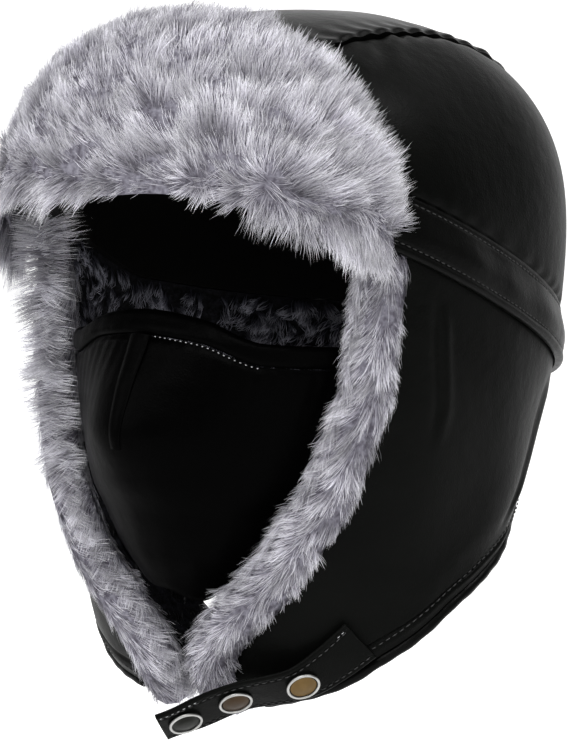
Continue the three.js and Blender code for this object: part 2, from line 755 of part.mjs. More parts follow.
function hemPiping() {
  const stations = [];
  const count = 24;
  for (let i = 0; i <= count; i += 1) {
    const share = mix(PIPING_START, 1, i / count);
    const point = hemPoint(share);
    const along = hemPoint(Math.min(1, share + 0.005)).sub(hemPoint(share - 0.005)).normalize();
    const normal = normalOf(point);
    const below = along.clone().cross(normal).normalize();
    if (below.z > 0) {
      below.negate();
    }
    const middle = point.addScaledVector(below, PIPING + 0.6).addScaledVector(normal, -1.2);
    const ring = [];
    for (let k = 0; k < 5; k += 1) {
      const turn = (k + 0.5) * 72 * RAD;
      const p = middle.clone().addScaledVector(below, PIPING * Math.cos(turn));
      ring.push(p.addScaledVector(normal, PIPING * Math.sin(turn)));
    }
    stations.push(ring);
  }
  return swept(stations);
}
const piping = hemPiping();
addPart('hem_piping_left', piping, LEATHER_BLACK);
addPart('hem_piping_right', mirrored(piping), LEATHER_BLACK);

// Face mask: its sides run in behind the fur trims, its middle stands out over nose and chin.
// The trim covers this much of the angle from the face edge at a level, more where the edge leans.
function trimCover(down) {
  const radius = FRONT_REACH * frontAt(down);
  const lean = ((faceEdgeAt(down - 0.01) - faceEdgeAt(down + 0.01)) * RAD * radius) / (0.02 * FACE_DROP);
  return ((TRIM_FRONT * Math.hypot(1, lean)) / radius) / RAD;
}

// Point of the mask at a share of its half width, from -1 to 1, and a level.
function maskPoint(share, z) {
  const down = downOf(z);
  const edge = faceEdgeAt(down);
  const angle = share * (edge + MASK_BEHIND);
  const held = edge - trimCover(down) - 1;
  const inside = lifted(around(angle, z), -MASK_TUCK);
  const middle = lifted(around(0, z), -MASK_TUCK);
  const rise = FRONT_REACH * maskReachAt(down) + middle.y;
  const part = clamp(Math.abs(angle) / held, 0, 1);
  const bulge = rise * (1 - part ** 2) ** 1.4 + NOSE_RISE * maskNoseAt(down) * Math.exp(-((angle / 15) ** 2));
  const out = new THREE.Vector3(Math.sin(angle * RAD), -Math.cos(angle * RAD), 0);
  const point = inside.addScaledVector(out, bulge);
  point.z = z;
  return point;
}

function maskNormal(share, z) {
  const across = maskPoint(share + 0.01, z).sub(maskPoint(share - 0.01, z));
  const up = maskPoint(share, z + 0.5).sub(maskPoint(share, z - 0.5));
  return across.cross(up).normalize();
}

const MASK_FOOT = 0.688;
const maskTop = (share) => levelOf(maskTopAt(Math.abs(share)));
const maskFoot = (share) => levelOf(MASK_FOOT - 0.04 * share * share);

function maskSheet(columns, rows, levels, outer, inner, shares = [-1, 1]) {
  const points = [];
  const spot = (u, v) => {
    const share = mix(shares[0], shares[1], u);
    const [top, foot] = levels(share);
    return { share, z: mix(top, foot, v) };
  };
  const place = (lift) => (u, v) => {
    const { share, z } = spot(u, v);
    return maskPoint(share, z).addScaledVector(maskNormal(share, z), lift(u, v));
  };
  for (const lift of [outer, inner]) {
    for (let j = 0; j <= rows; j += 1) {
      for (let i = 0; i <= columns; i += 1) {
        points.push(place(lift)(i / columns, j / rows));
      }
    }
  }
  const across = columns + 1;
  const layer = across * (rows + 1);
  const faces = [];
  const at = (i, j, side) => side * layer + j * across + i;
  const quad = (a, b, c, d) => faces.push([a, b, c], [a, c, d]);
  for (let j = 0; j < rows; j += 1) {
    for (let i = 0; i < columns; i += 1) {
      quad(at(i, j, 0), at(i, j + 1, 0), at(i + 1, j + 1, 0), at(i + 1, j, 0));
      quad(at(i, j, 1), at(i + 1, j, 1), at(i + 1, j + 1, 1), at(i, j + 1, 1));
    }
    quad(at(0, j, 0), at(0, j, 1), at(0, j + 1, 1), at(0, j + 1, 0));
    quad(at(columns, j, 0), at(columns, j + 1, 0), at(columns, j + 1, 1), at(columns, j, 1));
  }
  for (let i = 0; i < columns; i += 1) {
    quad(at(i, 0, 0), at(i + 1, 0, 0), at(i + 1, 0, 1), at(i, 0, 1));
    quad(at(i, rows, 0), at(i, rows, 1), at(i + 1, rows, 1), at(i + 1, rows, 0));
  }
  return solidFrom(points, faces);
}

const bodyLevels = (share) => [maskTop(share) - MASK_BAND_HEIGHT - 0.5, maskFoot(share)];
addPart('mask_body', maskSheet(16, 8, bodyLevels, () => 0, () => -MASK_LEATHER), LEATHER_BLACK);
const bandLevels = (share) => [maskTop(share), maskTop(share) - MASK_BAND_HEIGHT];
const bandFat = (MASK_BAND_LEATHER - MASK_LEATHER) / 2;
const maskBand = maskSheet(18, 2, bandLevels, (u, v) => bandFat + (v === 0.5 ? 0.5 : 0), () => -MASK_LEATHER - bandFat);
addPart('mask_band', maskBand, LEATHER_BLACK);

// Folded dart beside the nose, tapering downward.
const dartStart = MASK_BAND_HEIGHT + 1;
const dartLevels = (share) => [maskTop(share) - dartStart, maskTop(share) - dartStart - DART_LENGTH];
const dartLift = (u, v) => 0.3 + DART_RISE * Math.sin(Math.PI * clamp(u, 0.08, 0.92)) * (1 - 0.5 * v);
addPart('mask_dart', maskSheet(3, 6, dartLevels, dartLift, () => 0.3, [-0.05, 0.05]), LEATHER_BLACK);

function torusSolid(centre, axis, radius, tube, turns, sides) {
  const x = new THREE.Vector3(0, 0, 1).cross(axis).normalize();
  const y = axis.clone().cross(x);
  const stations = [];
  for (let i = 0; i < turns; i += 1) {
    const turn = (i / turns) * 2 * Math.PI;
    const out = x.clone().multiplyScalar(Math.cos(turn)).addScaledVector(y, Math.sin(turn));
    const ring = [];
    for (let k = 0; k < sides; k += 1) {
      const around = (k / sides) * 2 * Math.PI;
      const p = centre.clone().addScaledVector(out, radius + tube * Math.cos(around));
      ring.push(p.addScaledVector(axis, tube * Math.sin(around)));
    }
    stations.push(ring);
  }
  return swept(stations, true);
}

// Round solid on an axis: profile rows are radius and height.
function turned(centre, axis, profile, turns) {
  const lathe = new THREE.LatheGeometry(profile.map(([r, h]) => new THREE.Vector2(r, h)), turns);
  const turn = new THREE.Quaternion().setFromUnitVectors(new THREE.Vector3(0, 1, 0), axis);
  lathe.deleteAttribute('normal');
  lathe.deleteAttribute('uv');
  lathe.applyQuaternion(turn);
  lathe.translate(centre.x, centre.y, centre.z);
  const whole = mergeVertices(lathe, 1e-4);
  const position = whole.attributes.position;
  const points = [];
  for (let i = 0; i < position.count; i += 1) {
    points.push(new THREE.Vector3().fromBufferAttribute(position, i));
  }
  const faces = [];
  for (let i = 0; i < whole.index.count; i += 3) {
    const face = [whole.index.getX(i), whole.index.getX(i + 1), whole.index.getX(i + 2)];
    if (new Set(face).size === 3) {
      faces.push(face);
    }
  }
  return solidFrom(points, faces);
}

// Elastic loop at each end of the mask band, round a plain button on the lining.
const loopZ = maskTop(1) - MASK_BAND_HEIGHT / 2;
const buttonAngle = faceEdgeAt(downOf(loopZ)) + MASK_BEHIND + 8.2;
const buttonOn = around(buttonAngle, loopZ);
const buttonAxis = normalOf(buttonOn).negate();
const liningFace = -(liningOut - FUR_PILE) + 0.3;
const buttonFoot = buttonOn.clone().addScaledVector(buttonAxis, liningFace);
const buttonProfile = [[0, 0], [3.2, 0], [3.2, 3.4], [4.4, 3.8], [4.4, 4.8], [0, 5.4]];
const button = turned(buttonFoot, buttonAxis, buttonProfile, 10);
const loopCentre = buttonFoot.clone().addScaledVector(buttonAxis, 1.9);
const loop = torusSolid(loopCentre, buttonAxis, LOOP_RADIUS, LOOP_CORD, 12, 4);
addPart('mask_loop_left', loop, FUR_DARK);
addPart('mask_loop_right', mirrored(loop), FUR_DARK);
addPart('mask_button_left', button, METAL_BLACK);
addPart('mask_button_right', mirrored(button), METAL_BLACK);

// Small tab under the lower edge of the mask.
const tabShare = 0.42;
const tabTop = maskFoot(tabShare) - 0.7;
const tabPoint = (share, drop, lift) => {
  const p = maskPoint(share, tabTop).addScaledVector(maskNormal(share, tabTop), -0.4 - lift);
  p.z = tabTop - drop;
  return p;
};
const tabCorners = [[tabShare - 0.11, 0], [tabShare + 0.13, 0], [tabShare + 0.03, 5.5]];
const tabRings = [0, 1].map((layer) => tabCorners.map(([share, drop]) => tabPoint(share, drop, layer)));
addPart('mask_tab', swept(tabRings), FUR_DARK);

// Chin strap: sewn to the left flap, running off it in a straight line to a free square end.
function strapFrame(points, tilt) {
  const path = new THREE.CatmullRomCurve3(points, false, 'centripetal');
  return (share) => {
    const at = path.getPoint(share);
    const along = path.getTangent(share).normalize();
    const flat = new THREE.Vector3(at.x, at.y, 0).normalize();
    const face = flat.addScaledVector(new THREE.Vector3(0, 0, -1), tilt(share));
    face.addScaledVector(along, -face.dot(along)).normalize();
    const side = along.clone().cross(face).normalize();
    return { at, along, face, side };
  };
}

const strapRest = LAYER_GAP + STRAP_LEATHER / 2;
const SEWN_SPOTS = [
  { angle: 55.3, rise: 13.2, lift: 0.4 },
  { angle: 48.5, rise: 10.0, lift: 0.8 },
  { angle: 40.0, rise: 7.6, lift: 4.0 },
];
const sewn = SEWN_SPOTS.map(({ angle, rise, lift }) => {
  return lifted(around(angle, levelOf(hemAt(angle)) + rise), strapRest + lift);
});
const free = STRAP_FREE.map(({ across, reach, down }) => {
  return new THREE.Vector3(across * HALF_WIDTH, -reach * FRONT_REACH, levelOf(down));
});
const strapAt = strapFrame([...sewn, ...free], (share) => mix(0.28, 1.3, Math.min(1, 1.6 * share)));

function strapSolid() {
  const count = 20;
  const stations = [];
  for (let i = 0; i <= count; i += 1) {
    const { at, face, side } = strapAt(i / count);
    const half = STRAP_WIDTH / 2;
    const thick = STRAP_LEATHER / 2;
    const corners = [[half, -thick], [half, thick], [0, thick + STRAP_BULGE], [-half, thick], [-half, -thick]];
    stations.push(corners.map(([s, t]) => at.clone().addScaledVector(side, s).addScaledVector(face, t)));
  }
  return swept(stations);
}
addPart('chin_strap', strapSolid(), LEATHER_BLACK);

// Height of the strap's face over its centre line, the highest within a snap's width of a share.
function strapCrown(share) {
  const { at, face } = strapAt(share);
  const reach = SNAP_RADIUS / STRAP_LENGTH;
  const heights = [-1, -0.5, 0, 0.5, 1].flatMap((step) => {
    const near = strapAt(clamp(share + step * reach, 0, 1));
    return [-1, 0, 1].map((across) => {
      const p = near.at.clone().addScaledVector(near.side, across * SNAP_RADIUS);
      return p.addScaledVector(near.face, STRAP_LEATHER / 2 + STRAP_BULGE).sub(at).dot(face);
    });
  });
  return Math.max(...heights);
}

const snapShares = [0.385, 0.61, 0.825];
const snapFinishes = [METAL_BRONZE, METAL_BRONZE, METAL_BLACK];
snapShares.forEach((share, i) => {
  const { at, face } = strapAt(share);
  const foot = at.clone().addScaledVector(face, strapCrown(share) + SNAP_GAP);
  const inside = SNAP_RADIUS - SNAP_RIM;
  const rim = [[inside, 0], [SNAP_RADIUS, 0], [SNAP_RADIUS, 0.7], [SNAP_RADIUS - SNAP_RIM / 2, 1.3], [inside, 1.3], [inside, 0]];
  addPart(`snap_ring_${i + 1}`, turned(foot, face, rim, 14), METAL_SILVER);
  const cap = [[0, 0], [inside - 0.3, 0], [inside - 0.3, 0.5], [inside * 0.6, 1.1], [0, 1.3]];
  addPart(`snap_cap_${i + 1}`, turned(foot, face, cap, 14), snapFinishes[i]);
});

export default group;
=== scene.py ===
"""Winter aviator hat: leather crown and ear flaps, fur visor and trims, face mask and chin strap.

Every surface is worked out with numpy from one form, the outside of the hat over its leather.
Lengths are in metres. The face looks along -Y, the wearer's left is +X, +Z is up, and the
origin is the top of the head hollow.
"""

from __future__ import annotations

import logging
import math
from dataclasses import dataclass, field
from enum import Enum

import bpy
import numpy as np
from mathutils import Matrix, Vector

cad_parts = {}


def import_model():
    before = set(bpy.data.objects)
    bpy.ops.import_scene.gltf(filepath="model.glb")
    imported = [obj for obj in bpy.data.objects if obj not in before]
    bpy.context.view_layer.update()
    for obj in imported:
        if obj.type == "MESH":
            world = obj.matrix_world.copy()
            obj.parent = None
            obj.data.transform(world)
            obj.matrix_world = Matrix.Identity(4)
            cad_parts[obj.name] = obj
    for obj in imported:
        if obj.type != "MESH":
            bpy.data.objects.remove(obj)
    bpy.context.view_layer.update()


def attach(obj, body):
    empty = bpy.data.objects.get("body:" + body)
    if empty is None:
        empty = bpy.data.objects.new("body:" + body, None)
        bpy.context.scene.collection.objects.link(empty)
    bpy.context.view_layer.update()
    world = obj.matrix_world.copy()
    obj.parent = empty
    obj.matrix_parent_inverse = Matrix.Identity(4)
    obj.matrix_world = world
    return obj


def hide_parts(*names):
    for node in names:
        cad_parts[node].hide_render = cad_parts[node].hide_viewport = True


LOG = logging.getLogger("aviator_hat")
MM = 0.001
RAD = math.pi / 180
BODY = "root"
Array = np.ndarray


def ramp(low: float, high: float, value: Array | float) -> Array:
    """Smooth step from 0 at low to 1 at high."""
    t = np.clip((np.asarray(value, float) - low) / (high - low), 0.0, 1.0)
    return t * t * (3 - 2 * t)


def bump(centre: float, width: float, value: Array | float) -> Array:
    """Bell of height 1 round centre."""
    return np.exp(-(((np.asarray(value, float) - centre) / width) ** 2))


def unit(vectors: Array) -> Array:
    """The vectors at length 1."""
    return vectors / np.maximum(np.linalg.norm(vectors, axis=-1, keepdims=True), 1e-12)


def dot(a: Array, b: Array) -> Array:
    """Dot product along the last axis, kept as a column."""
    return np.sum(a * b, axis=-1, keepdims=True)


@dataclass(frozen=True)
class SmoothTable:
    """Smooth curve through rows of (x, y) that never overshoots between two rows."""

    rows: tuple[tuple[float, float], ...]

    def __call__(self, value: Array | float) -> Array:
        """Values of the curve.

        Args:
            value: where to read it; ends hold their value.

        Returns:
            An array of the same shape.
        """
        xs, ys = np.array(self.rows, float).T
        steps = np.diff(ys) / np.diff(xs)
        slopes = np.zeros(len(xs))
        before, after = steps[:-1], steps[1:]
        same = before * after > 0
        total = np.where(same, before + after, 1.0)
        slopes[1:-1] = np.where(same, 2 * before * after / total, 0.0)
        x = np.clip(np.asarray(value, float), xs[0], xs[-1])
        i = np.clip(np.searchsorted(xs, x, side="right") - 1, 0, len(xs) - 2)
        h = xs[i + 1] - xs[i]
        t = (x - xs[i]) / h
        t2, t3 = t * t, t * t * t
        start = (2 * t3 - 3 * t2 + 1) * ys[i] + (t3 - 2 * t2 + t) * h * slopes[i]
        return start + (3 * t2 - 2 * t3) * ys[i + 1] + (t3 - t2) * h * slopes[i + 1]


@dataclass(frozen=True)
class HatForm:
    """Outside of the hat over its leather: a dome on a body whose sections narrow downward."""

    half_width: float = 96 * MM
    front_reach: float = 116 * MM
    back_reach: float = 115 * MM
    crown_rise: float = 86 * MM
    face_drop: float = 196 * MM
    wall: float = 12.2 * MM
    dome_power: float = 2.3
    plan_power: float = 2.2
    seam_drop: float = 7.2 * MM
    seam_at_y: float = -42.8 * MM
    seam_slope: float = 0.43
    width: SmoothTable = SmoothTable(((0, 1), (0.15, 0.99), (0.26, 0.984), (0.37, 0.969), (0.46, 0.953),
        (0.56, 0.932), (0.62, 0.917), (0.71, 0.901), (0.80, 0.875), (0.87, 0.823), (0.93, 0.729), (1, 0.5)))
    front: SmoothTable = SmoothTable(((0, 1), (0.15, 0.931), (0.26, 0.905), (0.37, 0.871), (0.46, 0.836),
        (0.56, 0.776), (0.62, 0.741), (0.71, 0.69), (0.80, 0.647), (0.87, 0.603), (0.93, 0.534), (1, 0.379)))
    back: SmoothTable = SmoothTable(((0, 1), (0.15, 0.974), (0.26, 0.922), (0.37, 0.835), (0.46, 0.748),
        (0.56, 0.635), (0.62, 0.565), (0.71, 0.496), (0.80, 0.443), (0.87, 0.4), (0.93, 0.348), (1, 0.243)))
    face_edge: SmoothTable = SmoothTable(((0, 59), (0.107, 58), (0.184, 57), (0.279, 56), (0.355, 53),
        (0.432, 50), (0.5, 47), (0.56, 42), (0.63, 37), (0.694, 30), (0.758, 21.5), (0.825, 15),
        (0.88, 13.5), (0.93, 15)))
    hem: SmoothTable = SmoothTable(((15, 0.918), (41, 0.884), (51, 0.857), (61, 0.811), (68, 0.78),
                                    (75, 0.746),
        (82, 0.71), (92, 0.67), (101, 0.638), (112, 0.6), (132, 0.545), (180, 0.51)))

    @property
    def widest_z(self) -> float:
        """Level of the widest section."""
        return self.wall - self.crown_rise

    @property
    def seam_z(self) -> float:
        """Level of the lower crown seam where it is named."""
        return self.widest_z - self.seam_drop

    def level(self, down: Array | float) -> Array:
        """Level at a share of the drop below the widest section."""
        return self.widest_z - np.asarray(down, float) * self.face_drop

    def down(self, z: Array | float) -> Array:
        """Share of the drop at a level."""
        return (self.widest_z - np.asarray(z, float)) / self.face_drop

    def value(self, p: Array) -> Array:
        """Below 1 inside the form and above 1 outside it."""
        x, y, z = p[..., 0], p[..., 1], p[..., 2]
        down = np.clip(self.down(z), 0, 1)
        reach = np.where(y < 0, self.front_reach * self.front(down), self.back_reach * self.back(down))
        plan = (np.abs(x) / (self.half_width * self.width(down))) ** self.plan_power
        plan = plan + (np.abs(y) / reach) ** self.plan_power
        rise = np.maximum(0, z - self.widest_z) / self.crown_rise
        dome = plan ** (self.dome_power / self.plan_power) + rise**self.dome_power
        return np.where(z <= self.widest_z, plan, dome)

    def normal(self, p: Array) -> Array:
        """Outward normals at points."""
        h = 0.05 * MM
        parts = [self.value(p + h * axis) - self.value(p - h * axis) for axis in np.eye(3)]
        return unit(np.stack(parts, axis=-1))

    def around(self, angle: Array | float, z: Array | float) -> Array:
        """Points at angles from the face centre, in degrees, and levels."""
        angle, z = np.broadcast_arrays(np.asarray(angle, float), np.asarray(z, float))
        down = np.clip(self.down(z), 0, 1)
        s, c = np.sin(angle * RAD), np.cos(angle * RAD)
        reach = np.where(c > 0, self.front_reach * self.front(down), self.back_reach * self.back(down))
        plan = (np.abs(s) / (self.half_width * self.width(down))) ** self.plan_power
        plan = plan + (np.abs(c) / reach) ** self.plan_power
        rise = np.clip((z - self.widest_z) / self.crown_rise, 0, 1)
        r = (1 - rise**self.dome_power) ** (1 / self.dome_power) * plan ** (-1 / self.plan_power)
        return np.stack([r * s, -r * c, z], axis=-1)

    def cast(self, origin: Array, direction: Array) -> Array:
        """Points where rays from inside meet the form."""
        origin, direction = np.broadcast_arrays(np.asarray(origin, float), direction)
        near, far = np.zeros(direction.shape[:-1]), np.full(direction.shape[:-1], 0.4)
        for _ in range(34):
            middle = (near + far) / 2
            inside = self.value(origin + direction * middle[..., None]) < 1
            near, far = np.where(inside, middle, near), np.where(inside, far, middle)
        return origin + direction * near[..., None]

    def cast_on(self, point: Array) -> Array:
        """Points of the form in the direction of points, from the middle of the widest section."""
        centre = np.array([0, 0, self.widest_z])
        return self.cast(centre, unit(point - centre))

    def lifted(self, point: Array, lift: Array | float) -> Array:
        """Points moved along the form's normal."""
        lift = np.broadcast_to(np.asarray(lift, float), point.shape[:-1])
        return point + self.normal(point) * lift[..., None]

    def seam_level(self, angle: Array | float, rise: Array | float = 0.0) -> Array:
        """Level of the lower crown seam, which falls towards the back; rise moves it up."""
        base = self.seam_z + np.asarray(rise, float)
        z = np.broadcast_to(base, np.broadcast(angle, base).shape).astype(float)
        for _ in range(30):
            z = base - self.seam_slope * (self.around(angle, z)[..., 1] - self.seam_at_y)
        return z


# Meshes


def grid(columns: int, rows: int) -> tuple[Array, Array]:
    """Shares across and down of a grid of points, each of shape (rows + 1, columns + 1)."""
    return np.meshgrid(np.linspace(0, 1, columns + 1), np.linspace(0, 1, rows + 1))


def crowded(cells: int, *spots: tuple[float, float, float]) -> Array:
    """Shares from 0 to 1 that crowd round some places, each given as its share, width and weight."""
    fine = np.linspace(0, 1, 2000)
    density = 1.0 + sum(weight * bump(at, width, fine) for at, width, weight in spots)
    total = np.concatenate([[0], np.cumsum((density[1:] + density[:-1]) / 2)])
    return np.interp(np.linspace(0, total[-1], cells + 1), total, fine)


def swell(a: Array, b: Array, seed: int, waves: int = 7) -> Array:
    """Smooth uneven pattern of about -1 to 1 over two lengths, made of waves 0.7 to 1.6 units long."""
    rng = np.random.default_rng(seed)
    turn = rng.random(waves) * 2 * math.pi
    pitch = 2 * math.pi / (0.7 + 0.9 * rng.random(waves))
    phase = rng.random(waves) * 2 * math.pi
    across = np.multiply.outer(a, pitch * np.cos(turn)) + np.multiply.outer(b, pitch * np.sin(turn))
    return np.sin(across + phase).sum(axis=-1) * 1.4 / math.sqrt(waves)


def quads_of(rows: int, columns: int, start: int = 0, ring: bool = False, loop: bool = False) -> Array:
    """Quads of a grid of points; ring joins its last column to its first, and loop its last row."""
    index = start + np.arange(rows * columns).reshape(rows, columns)
    if ring:
        index = np.concatenate([index, index[:, :1]], axis=1)
    if loop:
        index = np.concatenate([index, index[:1]])
    return np.stack([index[:-1, :-1], index[:-1, 1:], index[1:, 1:], index[1:, :-1]], axis=-1).reshape(-1, 4)


def build_mesh(name: str, points: Array, faces: list[Array], uv: Array | None = None,
               sharp: float | None = 50.0, closed: bool = True) -> bpy.types.Object:
    """Object from points and arrays of faces.

    Args:
        name: name of the object.
        points: array of points.
        faces: arrays of faces, each with its own number of corners.
        uv: texture place of each point.
        sharp: angle in degrees past which an edge is sharp, or None for all smooth.
        closed: turn the faces outward by the sign of the volume.

    Returns:
        The new object, linked to the scene.
    """
    faces = [f for f in faces if len(f)]
    if closed:
        volume = 0.0
        for block in faces:
            for k in range(1, block.shape[1] - 1):
                a, b, c = points[block[:, 0]], points[block[:, k]], points[block[:, k + 1]]
                volume += float(np.sum(a * np.cross(b, c)))
        if volume < 0:
            faces = [block[:, ::-1] for block in faces]
    loops = np.concatenate([block.reshape(-1) for block in faces]).astype(np.int32)
    totals = np.concatenate([np.full(len(block), block.shape[1]) for block in faces])
    starts = np.concatenate([[0], np.cumsum(totals)[:-1]]).astype(np.int32)
    mesh = bpy.data.meshes.new(name)
    mesh.vertices.add(len(points))
    mesh.vertices.foreach_set("co", np.ascontiguousarray(points, np.float32).ravel())
    mesh.loops.add(len(loops))
    mesh.loops.foreach_set("vertex_index", loops)
    mesh.polygons.add(len(totals))
    mesh.polygons.foreach_set("loop_start", starts)
    mesh.update(calc_edges=True)
    mesh.polygons.foreach_set("use_smooth", np.ones(len(totals), bool))
    if uv is not None:
        layer = mesh.uv_layers.new(name="UVMap")
        layer.data.foreach_set("uv", np.ascontiguousarray(uv[loops], np.float32).ravel())
    if sharp is not None:
        mesh.set_sharp_from_angle(angle=sharp * RAD)
    obj = bpy.data.objects.new(name, mesh)
    bpy.context.scene.collection.objects.link(obj)
    return obj


def rim_faces(outer: Array, inner: Array, flip: bool) -> Array:
    """Faces between a fine outer line of points and a coarse inner one that has a share of its points."""
    step = (len(outer) - 1) // (len(inner) - 1)
    spans = np.arange(len(inner) - 1)
    fine = outer[spans[:, None] * step + np.arange(step + 1)]
    faces = np.concatenate([fine, inner[spans + 1][:, None], inner[spans][:, None]], axis=1)
    return faces[:, ::-1] if flip else faces


def slab(name: str, outer: Array, inner: Array, size: tuple[float, float], ring: bool = False,
         sharp: float | None = 50.0, step: int = 4) -> bpy.types.Object:
    """Closed sheet between two grids of points, the inner side coarser than the outer one.

    Args:
        name: name of the object.
        outer: rows and columns of points, each a whole number of steps and one more.
        inner: the inner side on the same grid.
        size: width and length of the sheet for the UV map.
        ring: join the last column to the first; the columns are then a whole number of steps.
        sharp: angle of sharp edges.
        step: fine cells to one cell of the inner side.

    Returns:
        The new object.
    """
    rows, columns = outer.shape[:2]
    uv = np.stack(np.meshgrid(np.linspace(0, size[0], columns), np.linspace(0, size[1], rows)), axis=-1)
    inner, inner_uv = inner[::step, ::step], uv[::step, ::step]
    count = rows * columns
    fine = np.arange(count).reshape(rows, columns)
    coarse = count + np.arange(inner.shape[0] * inner.shape[1]).reshape(inner.shape[:2])
    if ring:
        fine = np.concatenate([fine, fine[:, :1]], axis=1)
        coarse = np.concatenate([coarse, coarse[:, :1]], axis=1)
    rims = [rim_faces(fine[0], coarse[0], True), rim_faces(fine[-1], coarse[-1], False)]
    if not ring:
        rims += [rim_faces(fine[:, 0], coarse[:, 0], False), rim_faces(fine[:, -1], coarse[:, -1], True)]
    face = quads_of(rows, columns, 0, ring)
    back = quads_of(*inner.shape[:2], count, ring)[:, ::-1]
    points = np.concatenate([outer.reshape(-1, 3), inner.reshape(-1, 3)])
    flat_uv = np.concatenate([uv.reshape(-1, 2), inner_uv.reshape(-1, 2)])
    return build_mesh(name, points, [np.concatenate([face, back]), np.concatenate(rims)], flat_uv, sharp)


def tangents(path: Array, ring: bool = False) -> Array:
    """Directions along a path of points."""
    if ring:
        return unit(np.roll(path, -1, axis=0) - np.roll(path, 1, axis=0))
    return unit(np.gradient(path, axis=0))


def along_path(path: Array, step: float) -> Array:
    """Points at even distances along a path."""
    length = np.concatenate([[0], np.cumsum(np.linalg.norm(np.diff(path, axis=0), axis=1))])
    at = np.linspace(0, length[-1], max(2, int(round(length[-1] / step)) + 1))
    return np.stack([np.interp(at, length, path[:, k]) for k in range(3)], axis=-1)


def swept(name: str, points: Array, uv: Array | None, sharp: float | None,
          loop: bool = False) -> bpy.types.Object:
    """Closed solid through sections, capped at both ends or joined into a loop.

    Args:
        name: name of the object.
        points: rows of sections, each a ring of points.
        uv: texture place of each point, or None to use its place seen from above.
        sharp: angle of sharp edges.
        loop: join the last section to the first.

    Returns:
        The new object.
    """
    count, sides = points.shape[:2]
    flat = points.reshape(-1, 3)
    faces = [quads_of(count, sides, 0, True, loop)]
    if not loop:
        first = np.arange(sides)[None]
        faces += [first[:, ::-1], first + (count - 1) * sides]
    return build_mesh(name, flat, faces, flat[:, :2].copy() if uv is None else uv, sharp)


def tube(name: str, path: Array, normals: Array, section: Array, ring: bool = False,
         scale: Array | None = None, sharp: float | None = None) -> bpy.types.Object:
    """Closed solid of one section swept along a path.

    Args:
        name: name of the object.
        path: points of the centre line.
        normals: direction of the section's second coordinate at each point.
        section: corners of the section, side and lift from the centre line.
        ring: join the end to the start.
        scale: size of the section at each point.
        sharp: angle of sharp edges.

    Returns:
        The new object.
    """
    along = tangents(path, ring)
    normals = unit(normals - along * dot(normals, along))
    side = np.cross(along, normals)
    scale = np.ones(len(path)) if scale is None else scale
    place = section[None, :, :] * scale[:, None, None]
    points = path[:, None] + side[:, None] * place[..., :1] + normals[:, None] * place[..., 1:]
    count, sides = points.shape[:2]
    length = np.concatenate([[0], np.cumsum(np.linalg.norm(np.diff(path, axis=0), axis=1))])
    turn = np.linspace(0, 0.01, sides, endpoint=False)
    uv = np.stack(np.broadcast_arrays(turn[None, :], length[:, None]), axis=-1).reshape(-1, 2)
    return swept(name, points, uv, sharp, ring)


def circle(radius: float, sides: int, flat: float = 1.0) -> Array:
    """Corners of a round section."""
    turn = np.arange(sides) * 2 * math.pi / sides
    return np.stack([radius * np.cos(turn), radius * flat * np.sin(turn)], axis=-1)


def turned(name: str, centre: Array, axis: Array, profile: Array, turns: int = 48) -> bpy.types.Object:
    """Round solid: a profile of radius and height turned about an axis; radius 0 closes it."""
    axis = unit(np.asarray(axis, float))
    x = unit(np.cross(axis, [0.3, 0.1, 1.0]))
    y = np.cross(axis, x)
    turn = np.arange(turns) * 2 * math.pi / turns
    out = np.cos(turn)[:, None] * x + np.sin(turn)[:, None] * y
    closed = profile[0][0] > 0
    rows = profile if closed else profile[1:-1]
    points = centre + rows[:, None, :1] * out[None] + rows[:, None, 1:] * axis
    count = len(rows)
    faces = [quads_of(count, turns, 0, True, closed)]
    points = points.reshape(-1, 3)
    if not closed:
        index = np.arange(count * turns).reshape(count, turns)
        index = np.concatenate([index, index[:, :1]], axis=1)
        ends = np.array([centre + profile[0][1] * axis, centre + profile[-1][1] * axis])
        first = np.stack([np.full(turns, len(points)), index[0, 1:], index[0, :-1]], axis=-1)
        last = np.stack([np.full(turns, len(points) + 1), index[-1, :-1], index[-1, 1:]], axis=-1)
        points = np.concatenate([points, ends])
        faces += [first, last]
    return build_mesh(name, points, faces, points[:, :2].copy(), 40)


